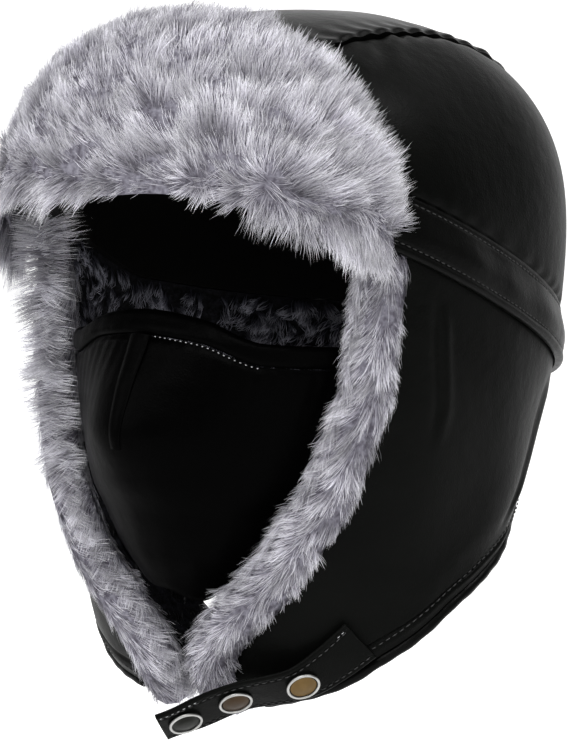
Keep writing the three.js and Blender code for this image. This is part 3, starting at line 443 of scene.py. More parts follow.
def stitches(name: str, lines: list[tuple[Array, Array]], pitch: float, length: float,
             radius: float) -> bpy.types.Object:
    """Rows of stitches as one mesh: a bead of thread at each step of a line, its ends sunk in the leather.

    Args:
        name: name of the object.
        lines: each row's path and the outward direction at each of its points.
        pitch: distance from one stitch to the next.
        length: length of a stitch.
        radius: half the thickness of the thread.

    Returns:
        The new object.
    """
    t = np.linspace(-1, 1, 5)
    size = np.sqrt(np.clip(1 - t**2, 0.08, 1))
    turn = np.arange(4) * math.pi / 2
    bead = np.zeros((5, 4, 3))
    bead[..., 0] = (t * length / 2)[:, None]
    bead[..., 1] = size[:, None] * np.cos(turn) * radius
    bead[..., 2] = size[:, None] * np.sin(turn) * radius + (np.sqrt(1 - 0.8 * t**2) * 0.6 * radius)[:, None]
    flat = bead.reshape(-1, 3)
    clouds = []
    for path, normals in lines:
        steps = along_path(path, pitch)
        at = np.linspace(0, len(path) - 1, len(steps))
        lift = np.stack([np.interp(at, np.arange(len(path)), normals[:, k]) for k in range(3)], axis=-1)
        along = tangents(steps)
        lift = unit(lift - along * dot(lift, along))
        side = np.cross(along, lift)
        clouds.append(steps[:, None] + along[:, None] * flat[None, :, :1] + side[:, None] * flat[None, :, 1:2]
                      + lift[:, None] * flat[None, :, 2:])
    points = np.concatenate(clouds)
    shift = (np.arange(len(points)) * 20)[:, None, None]
    caps = np.array([[3, 2, 1, 0], [16, 17, 18, 19]])
    faces = [(np.concatenate([quads_of(5, 4, 0, True), caps])[None] + shift).reshape(-1, 4)]
    points = points.reshape(-1, 3)
    return build_mesh(name, points, faces, points[:, :2].copy(), None)


# Fur


@dataclass(frozen=True)
class Coat:
    """How hair grows: sizes in metres, shares without a unit."""

    strands: int
    length: float
    width: float
    stand: float
    lift_tip: float
    clump: int
    gather: float
    spread: float
    vary: float = 0.35
    wave: float = 0.0
    seed: int = 1


def fur_mesh(name: str, coat: Coat, roots: Array, normals: Array, flow: Array, length: Array,
             tone: Array) -> bpy.types.Object:
    """Hair as tapering ribbons of three spans, bent from the normal at the root to the flow at the tip.

    A strand's line is root + L t (stand n (1 - t / 2) + t' f), gathered towards the tip of its lock by a
    share that grows with t squared. Ribbons face outward within a random twist.

    Args:
        name: name of the object.
        coat: the kind of hair.
        roots: a root for each lock.
        normals: outward direction at each lock.
        flow: combed direction at each lock, along the surface.
        length: length of each lock.
        tone: lightness of each lock from 0 to 1.

    Returns:
        The new object with the attribute "hair": share along, tone of the strand, tone of the lock.
    """
    rng = np.random.default_rng(coat.seed)
    locks = len(roots)
    owner = np.repeat(np.arange(locks), coat.clump)
    count = len(owner)
    n = normals[owner]
    f = flow[owner]
    side = unit(np.cross(n, f))
    radius = coat.spread * np.sqrt(rng.random(count))
    turn = rng.random(count) * 2 * math.pi
    shift = side * (radius * np.cos(turn))[:, None] + f * (radius * np.sin(turn))[:, None]
    root = roots[owner] + shift
    own = unit(f + side * rng.normal(0, 0.16, count)[:, None] + n * rng.normal(0, 0.08, count)[:, None])
    long = length[owner] * (1 - coat.vary * rng.random(count))
    lock_tip = roots + flow * (length * 0.92)[:, None] + normals * (length * coat.lift_tip)[:, None]
    jitter = rng.normal(0, 0.06, (count, 3)) * long[:, None]
    tip_goal = lock_tip[owner] + jitter + shift * 0.12
    ts = np.array([0.0, 0.36, 0.7, 1.0])
    spans = []
    phase = rng.random(count) * 6.28
    for t in ts:
        rise = coat.stand * t * (1 - 0.5 * t) + coat.lift_tip * t * t
        run = t * (1 - 0.35 * coat.stand * (1 - t))
        line = root + own * (long * run)[:, None] + n * (long * rise)[:, None]
        pull = coat.gather * t * t
        goal = roots[owner] + shift * (1 - t) + (tip_goal - roots[owner]) * t
        line = line * (1 - pull) + goal * pull
        wave = coat.wave * np.sin(phase + 5.2 * t) * t
        spans.append(line + side * (long * wave)[:, None])
    line = np.stack(spans, axis=1)
    along = unit(np.gradient(line, axis=1))
    twist = rng.normal(0, 0.55, count)
    across = unit(np.cross(along, n[:, None]))
    up = np.cross(across, along)
    across = across * np.cos(twist)[:, None, None] + up * np.sin(twist)[:, None, None]
    wide = coat.width * (0.7 + 0.6 * rng.random(count))
    half = 0.5 * wide[:, None] * np.array([0.8, 1.0, 0.72])[None]
    left = line[:, :3] - across[:, :3] * half[..., None]
    right = line[:, :3] + across[:, :3] * half[..., None]
    points = np.concatenate([left, right, line[:, 3:]], axis=1).reshape(-1, 3)
    base = np.arange(count)[:, None] * 7
    quads = np.concatenate([base + np.array([[0, 3, 4, 1]]), base + np.array([[1, 4, 5, 2]])])
    tips = base + np.array([[2, 5, 6]])
    facing = unit(np.cross(across[:, :3], along[:, :3]))
    facing = np.concatenate([facing, facing, facing[:, 2:]], axis=1)
    shade = unit(0.75 * n[:, None] + 0.45 * facing).reshape(-1, 3)
    share = np.broadcast_to(np.array([0, 0.36, 0.7, 0, 0.36, 0.7, 1.0]), (count, 7)).reshape(-1)
    obj = build_mesh(name, points, [quads, tips], np.stack([share, share], axis=-1), None, closed=False)
    colour = np.ones((len(points), 4), np.float32)
    colour[:, 0] = share
    colour[:, 1] = np.repeat(rng.random(count), 7)
    colour[:, 2] = np.repeat(tone[owner], 7)
    attribute = obj.data.attributes.new("hair", "FLOAT_COLOR", "POINT")
    attribute.data.foreach_set("color", colour.ravel())
    obj.data.normals_split_custom_set_from_vertices(shade)
    return obj


def comb(flow: Array, normals: Array) -> Array:
    """Directions laid along the surface."""
    return unit(flow - normals * dot(flow, normals))


# Finishes


class Finish:
    """Base of the node materials: makes the material once and hands out its nodes."""

    name = "finish"

    def __init__(self) -> None:
        """Start with no material."""
        self._made: bpy.types.Material | None = None

    def material(self) -> bpy.types.Material:
        """The material, made on first use."""
        if self._made is None:
            self._made = bpy.data.materials.new(self.name)
            self._made.use_nodes = True
            tree = self._made.node_tree
            shader = tree.nodes["Principled BSDF"]
            self.dress(tree, shader)
        return self._made

    def dress(self, tree: bpy.types.NodeTree, shader: bpy.types.Node) -> None:
        """Add the nodes of this finish."""
        raise NotImplementedError

    @staticmethod
    def coords(tree: bpy.types.NodeTree) -> bpy.types.NodeSocket:
        """Object coordinates."""
        return tree.nodes.new("ShaderNodeTexCoord").outputs["Object"]

    @staticmethod
    def noise(tree: bpy.types.NodeTree, vector: bpy.types.NodeSocket, scale: float,
              detail: float = 3.0) -> bpy.types.Node:
        """Noise texture of a scale in cycles a metre."""
        node = tree.nodes.new("ShaderNodeTexNoise")
        node.inputs["Scale"].default_value = scale
        node.inputs["Detail"].default_value = detail
        tree.links.new(vector, node.inputs["Vector"])
        return node

    @staticmethod
    def spread(tree: bpy.types.NodeTree, value: bpy.types.NodeSocket, low: float,
               high: float) -> bpy.types.NodeSocket:
        """A value of 0 to 1, spread from low to high."""
        node = tree.nodes.new("ShaderNodeMapRange")
        node.inputs["To Min"].default_value = low
        node.inputs["To Max"].default_value = high
        tree.links.new(value, node.inputs["Value"])
        return node.outputs["Result"]

    @staticmethod
    def ramp_node(tree: bpy.types.NodeTree, value: bpy.types.NodeSocket,
                  stops: tuple[tuple[float, tuple[float, float, float]], ...]) -> bpy.types.Node:
        """Colour ramp over a value."""
        node = tree.nodes.new("ShaderNodeValToRGB")
        elements = node.color_ramp.elements
        while len(elements) < len(stops):
            elements.new(0.5)
        for element, (at, colour) in zip(elements, stops):
            element.position = at
            element.color = (*colour, 1)
        tree.links.new(value, node.inputs["Fac"])
        return node

    @staticmethod
    def bump_node(tree: bpy.types.NodeTree, height: bpy.types.NodeSocket, strength: float, distance: float,
                  under: bpy.types.Node | None = None) -> bpy.types.Node:
        """Bump from a height."""
        node = tree.nodes.new("ShaderNodeBump")
        node.inputs["Strength"].default_value = strength
        node.inputs["Distance"].default_value = distance
        tree.links.new(height, node.inputs["Height"])
        if under is not None:
            tree.links.new(under.outputs["Normal"], node.inputs["Normal"])
        return node


class Leather(Finish):
    """Soft black nappa: fine pebble grain, faint creases, uneven polish."""

    def __init__(self, name: str, colour: tuple[float, float, float], rough: float, shine: float) -> None:
        """Colour, roughness and shine of the hide."""
        super().__init__()
        self.name = name
        self.colour = colour
        self.rough = rough
        self.shine = shine

    def dress(self, tree: bpy.types.NodeTree, shader: bpy.types.Node) -> None:
        """Grain from small cells, creases from stretched noise, polish from large noise."""
        coords = self.coords(tree)
        cells = tree.nodes.new("ShaderNodeTexVoronoi")
        cells.feature = "DISTANCE_TO_EDGE"
        cells.inputs["Scale"].default_value = 900
        tree.links.new(coords, cells.inputs["Vector"])
        creases = self.noise(tree, coords, 140, 5)
        grain = self.bump_node(tree, cells.outputs["Distance"], 0.35, 0.0003)
        folds = self.bump_node(tree, creases.outputs["Fac"], 0.16, 0.002, grain)
        tree.links.new(folds.outputs["Normal"], shader.inputs["Normal"])
        cloud = self.noise(tree, coords, 22, 4)
        polish = self.spread(tree, cloud.outputs["Fac"], self.rough - 0.09, self.rough + 0.12)
        tree.links.new(polish, shader.inputs["Roughness"])
        deep = tuple(0.6 * c for c in self.colour)
        tint = self.ramp_node(tree, cloud.outputs["Fac"], ((0.3, deep), (0.7, self.colour)))
        tree.links.new(tint.outputs["Color"], shader.inputs["Base Color"])
        shader.inputs["Specular IOR Level"].default_value = self.shine


class Satin(Finish):
    """Smooth dark lining cloth with a very fine weave."""

    name = "satin_black"

    def dress(self, tree: bpy.types.NodeTree, shader: bpy.types.Node) -> None:
        """Weave from two crossing waves."""
        coords = self.coords(tree)
        weave = tree.nodes.new("ShaderNodeTexWave")
        weave.inputs["Scale"].default_value = 1400
        tree.links.new(coords, weave.inputs["Vector"])
        folds = self.noise(tree, coords, 30, 3)
        fine = self.bump_node(tree, weave.outputs["Fac"], 0.15, 0.0002)
        soft = self.bump_node(tree, folds.outputs["Fac"], 0.3, 0.004, fine)
        tree.links.new(soft.outputs["Normal"], shader.inputs["Normal"])
        shader.inputs["Base Color"].default_value = (0.0022, 0.0022, 0.002, 1)
        shader.inputs["Roughness"].default_value = 0.5
        shader.inputs["Specular IOR Level"].default_value = 0.08


class Fur(Finish):
    """Hair coloured from root to tip, each lock and strand a little different."""

    strand_range = (0.68, 1.2)
    lock_range = (0.58, 1.34)

    def __init__(self, name: str, stops: tuple[tuple[float, tuple[float, float, float]], ...],
                 through: float = 0.25) -> None:
        """Stops of colour from root to tip, and the share of light let through."""
        super().__init__()
        self.name = name
        self.stops = stops
        self.through = through

    def dress(self, tree: bpy.types.NodeTree, shader: bpy.types.Node) -> None:
        """Colour from the hair attribute; some light passes through each strand."""
        hair = tree.nodes.new("ShaderNodeAttribute")
        hair.attribute_name = "hair"
        parts = tree.nodes.new("ShaderNodeSeparateColor")
        tree.links.new(hair.outputs["Color"], parts.inputs["Color"])
        # The ramp darkens towards the root: partly the hair's own colour, partly painted shade deep in the
        # coat
        tint = self.ramp_node(tree, parts.outputs["Red"], self.stops)
        strand = self.spread(tree, parts.outputs["Green"], *self.strand_range)
        lock = self.spread(tree, parts.outputs["Blue"], *self.lock_range)
        both = tree.nodes.new("ShaderNodeMath")
        both.operation = "MULTIPLY"
        tree.links.new(strand, both.inputs[0])
        tree.links.new(lock, both.inputs[1])
        scale = tree.nodes.new("ShaderNodeVectorMath")
        scale.operation = "SCALE"
        tree.links.new(tint.outputs["Color"], scale.inputs["Vector"])
        tree.links.new(both.outputs["Value"], scale.inputs["Scale"])
        tree.links.new(scale.outputs["Vector"], shader.inputs["Base Color"])
        shader.inputs["Roughness"].default_value = 0.62
        shader.inputs["Specular IOR Level"].default_value = 0.3
        glow = tree.nodes.new("ShaderNodeBsdfTranslucent")
        tree.links.new(scale.outputs["Vector"], glow.inputs["Color"])
        mixer = tree.nodes.new("ShaderNodeMixShader")
        mixer.inputs["Fac"].default_value = self.through
        tree.links.new(shader.outputs["BSDF"], mixer.inputs[1])
        tree.links.new(glow.outputs["BSDF"], mixer.inputs[2])
        out = tree.nodes["Material Output"]
        tree.links.new(mixer.outputs["Shader"], out.inputs["Surface"])


class Underfur(Finish):
    """Dense wool at the roots of the hair."""

    def __init__(self, name: str, low: tuple[float, float, float], high: tuple[float, float, float]) -> None:
        """Darkest and lightest colour."""
        super().__init__()
        self.name = name
        self.low = low
        self.high = high

    def dress(self, tree: bpy.types.NodeTree, shader: bpy.types.Node) -> None:
        """Mottled colour and a woolly bump."""
        coords = self.coords(tree)
        wool = self.noise(tree, coords, 420, 6)
        tint = self.ramp_node(tree, wool.outputs["Fac"], ((0.35, self.low), (0.65, self.high)))
        tree.links.new(tint.outputs["Color"], shader.inputs["Base Color"])
        rough = self.bump_node(tree, wool.outputs["Fac"], 0.8, 0.002)
        tree.links.new(rough.outputs["Normal"], shader.inputs["Normal"])
        shader.inputs["Roughness"].default_value = 0.95
        shader.inputs["Specular IOR Level"].default_value = 0.1


class Metal(Finish):
    """Plated metal with fine wear."""

    def __init__(self, name: str, colour: tuple[float, float, float], rough: float) -> None:
        """Colour and roughness of the plate."""
        super().__init__()
        self.name = name
        self.colour = colour
        self.rough = rough

    def dress(self, tree: bpy.types.NodeTree, shader: bpy.types.Node) -> None:
        """Cloudy roughness and tiny scratches."""
        coords = self.coords(tree)
        cloud = self.noise(tree, coords, 260, 4)
        worn = self.spread(tree, cloud.outputs["Fac"], self.rough * 0.8, self.rough * 1.4)
        tree.links.new(worn, shader.inputs["Roughness"])
        scratch = self.noise(tree, coords, 1600, 2)
        marks = self.bump_node(tree, scratch.outputs["Fac"], 0.08, 0.0002)
        tree.links.new(marks.outputs["Normal"], shader.inputs["Normal"])
        dull = tuple(0.75 * c for c in self.colour)
        tint = self.ramp_node(tree, cloud.outputs["Fac"], ((0.35, dull), (0.65, self.colour)))
        tree.links.new(tint.outputs["Color"], shader.inputs["Base Color"])
        shader.inputs["Metallic"].default_value = 1.0


class Thread(Finish):
    """Sewing thread, plied."""

    def __init__(self, name: str, colour: tuple[float, float, float]) -> None:
        """Colour of the thread."""
        super().__init__()
        self.name = name
        self.colour = colour

    def dress(self, tree: bpy.types.NodeTree, shader: bpy.types.Node) -> None:
        """Fine twist lines."""
        coords = self.coords(tree)
        twist = self.noise(tree, coords, 2600, 2)
        dark = tuple(0.6 * c for c in self.colour)
        tint = self.ramp_node(tree, twist.outputs["Fac"], ((0.4, dark), (0.6, self.colour)))
        tree.links.new(tint.outputs["Color"], shader.inputs["Base Color"])
        lay = self.bump_node(tree, twist.outputs["Fac"], 0.4, 0.0002)
        tree.links.new(lay.outputs["Normal"], shader.inputs["Normal"])
        shader.inputs["Roughness"].default_value = 0.6


class Backdrop(Finish):
    """Pale studio paper."""

    name = "studio_paper"

    def dress(self, tree: bpy.types.NodeTree, shader: bpy.types.Node) -> None:
        """Even pale colour, lit a little from behind."""
        shader.inputs["Base Color"].default_value = (0.9, 0.9, 0.9, 1)
        shader.inputs["Roughness"].default_value = 0.9
        shader.inputs["Emission Color"].default_value = (1, 1, 1, 1)
        shader.inputs["Emission Strength"].default_value = 0.55


@dataclass
class Finishes:
    """All finishes of the hat, shared by its pieces."""

    leather: Leather = field(default_factory=lambda: Leather("leather_black", (0.0020, 0.0022, 0.0019), 0.36,
                                                             0.026))
    mask: Leather = field(default_factory=lambda: Leather("leather_mask", (0.0005, 0.0005, 0.0005), 0.34,
                                                          0.009))
    edge: Leather = field(default_factory=lambda: Leather("leather_edge", (0.0016, 0.0017, 0.0015), 0.31,
                                                          0.04))
    satin: Satin = field(default_factory=Satin)
    # Grey hair, dark at the root and light at the tip: partly the darker undercoat's own colour, partly
    # painted shade deep in the coat
    fur: Fur = field(default_factory=lambda: Fur("fur_grey", (
        (0.0, (0.09, 0.083, 0.105)), (0.35, (0.26, 0.25, 0.29)), (0.7, (0.52, 0.51, 0.56)), (1.0, (0.88, 0.88,
                                                                                                   0.9)))))
    # Lining hair: the same grey fur as the trims, painted much darker as painted shade inside the hat
    lining: Fur = field(default_factory=lambda: Fur("fur_lining_shaded", (
        (0.0, (0.006, 0.006, 0.009)), (0.5, (0.045, 0.045, 0.062)), (1.0, (0.50, 0.50, 0.58))), 0.1))
    # Curls of the lining's lip: grey lining fur painted near black as painted shade beside and under the mask
    curls: Fur = field(default_factory=lambda: Fur("fur_curls_shaded", (
        (0.0, (0.002, 0.002, 0.002)), (0.75, (0.008, 0.008, 0.008)), (1.0, (0.22, 0.22, 0.23))), 0.03))
    # Core wool under the visor and trim hair, dark grey: partly the undercoat's own colour, partly painted
    # shade deep in the fur
    wool: Underfur = field(default_factory=lambda: Underfur("fur_wool", (0.06, 0.055, 0.07),
                                                            (0.17, 0.165, 0.195)))
    # Wool under the lining hair and lip: near black as painted shade inside the hat
    shaded_lining_wool: Underfur = field(default_factory=lambda: Underfur("shaded_lining_wool", (0.002, 0.002, 0.002),
                                                                   (0.010, 0.010, 0.013)))
    silver: Metal = field(default_factory=lambda: Metal("snap_silver", (0.36, 0.36, 0.35), 0.34))
    # Caps of snaps 1 and 2 are one bronze: lighter on snap 1 as painted light, darker on snap 2 as painted
    # shade
    lit_bronze: Metal = field(default_factory=lambda: Metal("snap_bronze_lit", (0.11, 0.070, 0.027), 0.45))
    bronze: Metal = field(default_factory=lambda: Metal("snap_bronze", (0.038, 0.024, 0.013), 0.45))
    black: Metal = field(default_factory=lambda: Metal("snap_black", (0.006, 0.0065, 0.005), 0.4))
    thread: Thread = field(default_factory=lambda: Thread("thread_black", (0.006, 0.006, 0.006)))
    bright: Thread = field(default_factory=lambda: Thread("thread_grey", (0.35, 0.35, 0.36)))
    elastic: Thread = field(default_factory=lambda: Thread("elastic_grey", (0.09, 0.09, 0.095)))


class Side(Enum):
    """The wearer's side a piece is on."""

    LEFT = 1
    RIGHT = -1

    def turn(self, points: Array) -> Array:
        """Points made for the left side, on this side."""
        return points * np.array([self.value, 1, 1])

    @property
    def word(self) -> str:
        """Name of the side."""
        return self.name.lower()


def place(obj: bpy.types.Object, finish: Finish, *nodes: str,
          slot: str = "leather_black") -> bpy.types.Object:
    """Give a piece its material and body, and name the CAD nodes it stands for."""
    obj.data.materials.clear()
    obj.data.materials.append(finish.material())
    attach(obj, BODY)
    if nodes:
        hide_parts(*nodes)
    LOG.info("%s: %d triangles", obj.name, len(obj.data.loops) - 2 * len(obj.data.polygons))
    return obj


@dataclass
class Crown:
    """Centre strip, two side panels and the band."""

    form: HatForm
    finishes: Finishes
    strip_half: float = 50 * MM
    gap: float = 0.4 * MM
    leather: float = 3 * MM
    band_height: float = 24 * MM
    band_leather: float = 2.4 * MM
    layer_gap: float = 0.7 * MM

    def strip_point(self, x: Array, turn: Array) -> Array:
        """Points at distances from the middle plane and turns from the brow."""
        x, turn = np.broadcast_arrays(x, turn)
        origin = np.stack([x, 0 * x, np.full_like(x, self.form.widest_z)], axis=-1)
        return self.form.cast(origin, np.stack([0 * turn, -np.cos(turn), np.sin(turn)], axis=-1))

    def strip_end(self, x: Array, off: float, on: float) -> Array:
        """Turn at which the sections at x meet the upper seam of the band."""
        off, on = np.full(x.shape, off), np.full(x.shape, on)
        for _ in range(24):
            middle = (off + on) / 2
            p = self.strip_point(x, middle)
            seam = (self.form.seam_z + self.band_height + self.gap - self.form.seam_slope
                    * (p[..., 1] - self.form.seam_at_y))
            above = p[..., 2] > seam
            on, off = np.where(above, middle, on), np.where(above, off, middle)
        return on

    def strip(self) -> None:
        """Centre strip: raised lapped edges, gathered wrinkles running back from the visor."""
        u, v = np.meshgrid(crowded(72, (0, 0.04, 3), (1, 0.04, 3)), np.linspace(0, 1, 201))
        x = -self.strip_half + 2 * self.strip_half * u
        ends = self.strip_end(x[0], -0.4, 1.5), self.strip_end(x[0], math.pi + 0.9, 1.6)
        turn = ends[0][None] * (1 - v) + ends[1][None] * v
        p = self.strip_point(x, turn)
        d = self.strip_half - np.abs(x)
        edge = bump(0, 5 * MM, d)
        roll = -1.0 * MM * bump(0, 1.2 * MM, d)
        across = np.abs(x) / self.strip_half
        back = ramp(0.36, 0.6, v)
        ripple = np.sin(v * 46) * 0.55 + 0.4 * np.sin(v * 71 + 3 * u) + 0.3 * np.sin(v * 29 - 4 * u)
        pucker = 0.45 * np.sin(v * 150 + 2 * np.sin(u * 9)) * bump(0, 9 * MM, d)
        lift = MM * (1.3 * edge + ripple * back * (0.35 + 0.65 * (1 - across)) + pucker) + roll
        obj = slab("crown_strip_leather", self.form.lifted(p, lift), self.form.lifted(p, -self.leather),
                   (0.1, 0.4))
        place(obj, self.finishes.edge, "crown_strip")

    def side(self, side: Side) -> None:
        """Side panel: sinks at its seams, creased where the strip draws it in."""
        u, v = np.meshgrid(np.linspace(0, 1, 145), crowded(80, (0, 0.03, 3), (1, 0.03, 3)))
        x = np.array([self.strip_half + self.gap])
        share = 0.03 + 0.94 * u[0]
        ends = self.strip_end(x, -0.4, 1.5), self.strip_end(x, math.pi + 0.9, 1.6)
        top = self.strip_point(np.full(share.shape, x[0]), ends[0] * (1 - share) + ends[1] * share)
        corners = [self.strip_point(x, end)[0] for end in ends]
        angles = [math.atan2(p[0], -p[1]) / RAD for p in corners]
        angle = angles[0] + (angles[1] - angles[0]) * u[0]
        low = self.form.around(angle, self.form.seam_level(angle, self.band_height + self.gap))
        p = self.form.cast_on(low[None] * (1 - v[..., None]) + top[None] * v[..., None])
        seam = np.maximum(bump(0, 0.035, v), bump(1, 0.05, v))
        pucker = np.sin(u * 120 + 2 * np.sin(u * 17)) * (0.35 * bump(0.98, 0.05, v) + 0.25
                                                         * bump(0.0, 0.05, v))
        crease = -0.9 * bump(0.30, 0.018, u + 0.10 * (1 - v)) * ramp(0.62, 0.95, v)
        crease = crease + 0.5 * bump(0.335, 0.02, u + 0.10 * (1 - v)) * ramp(0.6, 0.95, v)
        soft = 0.7 * np.sin(u * 7 + 1.0) * np.sin(v * 5) + 0.35 * np.sin(u * 19 + v * 6)
        edge = -0.9 * np.maximum(bump(0, 0.012, v), bump(1, 0.012, v))
        lift = MM * (-0.7 * seam + pucker + crease + soft * (1 - seam) + edge)
        outer, inner = self.form.lifted(p, lift), self.form.lifted(p, -self.leather)
        obj = slab(f"crown_side_{side.word}_leather", side.turn(outer), side.turn(inner), (0.25, 0.12))
        place(obj, self.finishes.leather, f"crown_side_{side.word}")

    def band(self) -> None:
        """Band: narrow double seam at its top, thick rolled lower edge that stands over the flaps."""
        shares = crowded(40, (0.11, 0.03, 2), (0.83, 0.03, 2), (0.97, 0.04, 3))
        u, v = np.meshgrid(np.linspace(0, 1, 520, endpoint=False), shares)
        angle = u * 360
        p = self.form.around(angle, self.form.seam_level(angle, self.band_height * (1 - v)))
        out = (self.band_leather + self.layer_gap) * ramp(0, 0.66, v)
        d = v * self.band_height
        groove = -0.45 * bump(2.6 * MM, 0.55 * MM, d) - 0.5 * bump(20.0 * MM, 0.6 * MM, d)
        roll = 0.55 * bump(22.3 * MM, 1.4 * MM, d) - 1.0 * bump(24.3 * MM, 0.7 * MM,
                                                                d) - 0.6 * bump(0, 0.8 * MM, d)
        soft = (0.35 * np.sin(angle * RAD * 9 + 1.3) * np.sin(v * math.pi) + 0.2 * np.sin(angle * RAD * 23)
                * np.sin(v * math.pi))
        outer = self.form.lifted(p, out + MM * (groove + roll + soft))
        inner = self.form.lifted(p, out - self.band_leather)
        obj = slab("crown_band_leather", outer, inner, (0.65, 0.024), ring=True)
        place(obj, self.finishes.edge, "crown_band")
        rows = []
        for height in (self.band_height - 2.6 * MM, self.band_height - 20.0 * MM):
            turn = np.linspace(-180, 180, 700)
            line = self.form.around(turn, self.form.seam_level(turn, height))
            share = 1 - height / self.band_height
            lift = (self.band_leather + self.layer_gap) * float(ramp(0, 0.66, share)) - 0.3 * MM
            normals = self.form.normal(line)
            rows.append((line + normals * lift, normals))
        row = stitches("band_stitches", rows, 3.0 * MM, 2.1 * MM, 0.28 * MM)
        place(row, self.finishes.thread)

    def build(self) -> None:
        """All pieces of the crown."""
        self.strip()
        for side in Side:
            self.side(side)
        self.band()


@dataclass
class EarFlaps:
    """Leather flaps with a piped hem."""

    form: HatForm
    finishes: Finishes
    leather: float = 3 * MM
    tuck: float = 6 * MM
    piping: float = 2.2 * MM
    back_seam: float = 179.9

    def spot(self, u: Array, v: Array, top_rise: float, hem_shift: float) -> tuple[Array, Array]:
        """Angle and level of a point of the flap; u runs from face edge to nape, v from seam to hem."""
        form = self.form
        start, edge_top = 15.0, 59.0
        top_angle = edge_top + (self.back_seam - edge_top) * u
        hem_angle = start + (self.back_seam - start) * u
        top = form.seam_level(top_angle, top_rise)
        hem = form.level(form.hem(hem_angle)) + hem_shift
        front_top, back_top = form.seam_level(np.array([edge_top, self.back_seam]), top_rise)
        front_hem, back_hem = form.level(form.hem(np.array([start, self.back_seam]))) + hem_shift
        front_z = front_top + (front_hem - front_top) * v
        back_z = back_top + (back_hem - back_top) * v
        z = top * (1 - v) + hem * v + front_z * (1 - u) + back_z * u
        z = z - (front_z * (1 - u) + back_z * u)
        corner = (front_top * (1 - u) + back_top * u) * (1 - v) + (front_hem * (1 - u) + back_hem * u) * v
        z = z + (front_z * (1 - u) + back_z * u) - corner
        edge = form.face_edge(form.down(front_z))
        straight = form.face_edge(form.down(front_top)) * (1 - v) + form.face_edge(form.down(front_hem)) * v
        return top_angle * (1 - v) + hem_angle * v + (1 - u) * (edge - straight), z

    def flap(self, side: Side) -> None:
        """Leather of one flap, with its folds and the topstitched hem."""
        u, v = np.meshgrid(crowded(144, (0.16, 0.1, 1), (0, 0.02, 2)),
                           crowded(144, (0.965, 0.02, 4), (0.25, 0.2, 0.6)))
        angle, z = self.spot(u, v, self.tuck, 0.0)
        p = self.form.around(angle, z)
        line = 0.11 + 0.06 * v
        fold = -0.9 * bump(0.0, 0.012, u - line - 0.05 * (v - 0.25)) * ramp(0.08, 0.16,
                                                                            v) * (1 - ramp(0.30, 0.42, v))
        ridge = 0.8 * bump(0.0, 0.014, u - line - 0.022 - 0.05
                           * (v - 0.25)) * ramp(0.08, 0.16, v) * (1 - ramp(0.3, 0.45, v))
        back = 1.0 * bump(0.60, 0.02, u + 0.04 * v) * ramp(0.12, 0.3, v) * (1 - ramp(0.75, 0.95, v))
        back = back - 0.8 * bump(0.565, 0.02, u + 0.04 * v) * ramp(0.12, 0.3, v) * (1 - ramp(0.75, 0.95, v))
        soft = 0.9 * np.sin(u * 8 + 2.2 * v) * np.sin(v * 4.4) + 0.35 * np.sin(u * 23 - v * 5 + 1.0)
        pull = 0.5 * np.sin(v * 40 + 9 * u) * bump(0.0, 0.08, u) + 0.4 * np.sin(u * 60) * bump(0.97, 0.04, v)
        hem = -0.7 * bump(0.958, 0.006, v) + 0.5 * bump(0.978, 0.012, v)
        lift = MM * (fold + ridge + back + soft * np.sin(np.pi * v) + pull * 0.6 + hem) * ramp(0.04, 0.1, v)
        lift = lift - 0.6 * MM * bump(1, 0.01, u)
        outer, inner = self.form.lifted(p, lift), self.form.lifted(p, -self.leather)
        obj = slab(f"ear_flap_{side.word}_leather", side.turn(outer), side.turn(inner), (0.22, 0.16))
        place(obj, self.finishes.leather, f"ear_flap_{side.word}")

    def hem(self, side: Side) -> None:
        """Piped hem and the stitches above it."""
        share = np.linspace(0.075, 1, 420)
        angle = 15 + (self.back_seam - 15) * share
        p = self.form.around(angle, self.form.level(self.form.hem(angle)))
        n = self.form.normal(p)
        along = tangents(p)
        below = unit(np.cross(along, n))
        below = below * np.where(below[:, 2:] > 0, -1, 1)
        middle = p + below * (self.piping + 0.5 * MM) - n * 1.2 * MM
        thick = 1 + 0.05 * np.sin(share * 160) + 0.04 * np.sin(share * 61)
        obj = tube(f"hem_piping_{side.word}_leather", side.turn(middle), side.turn(n),
                   circle(self.piping, 14), scale=thick)
        place(obj, self.finishes.edge, f"hem_piping_{side.word}")
        line = p - below * 4.6 * MM + n * 0.15 * MM
        row = stitches(f"hem_stitches_{side.word}", [(side.turn(line), side.turn(n))], 3.2 * MM, 2.2 * MM,
                       0.28 * MM)
        place(row, self.finishes.thread)

    def build(self) -> None:
        """Both flaps."""
        for side in Side:
            self.flap(side)
            self.hem(side)


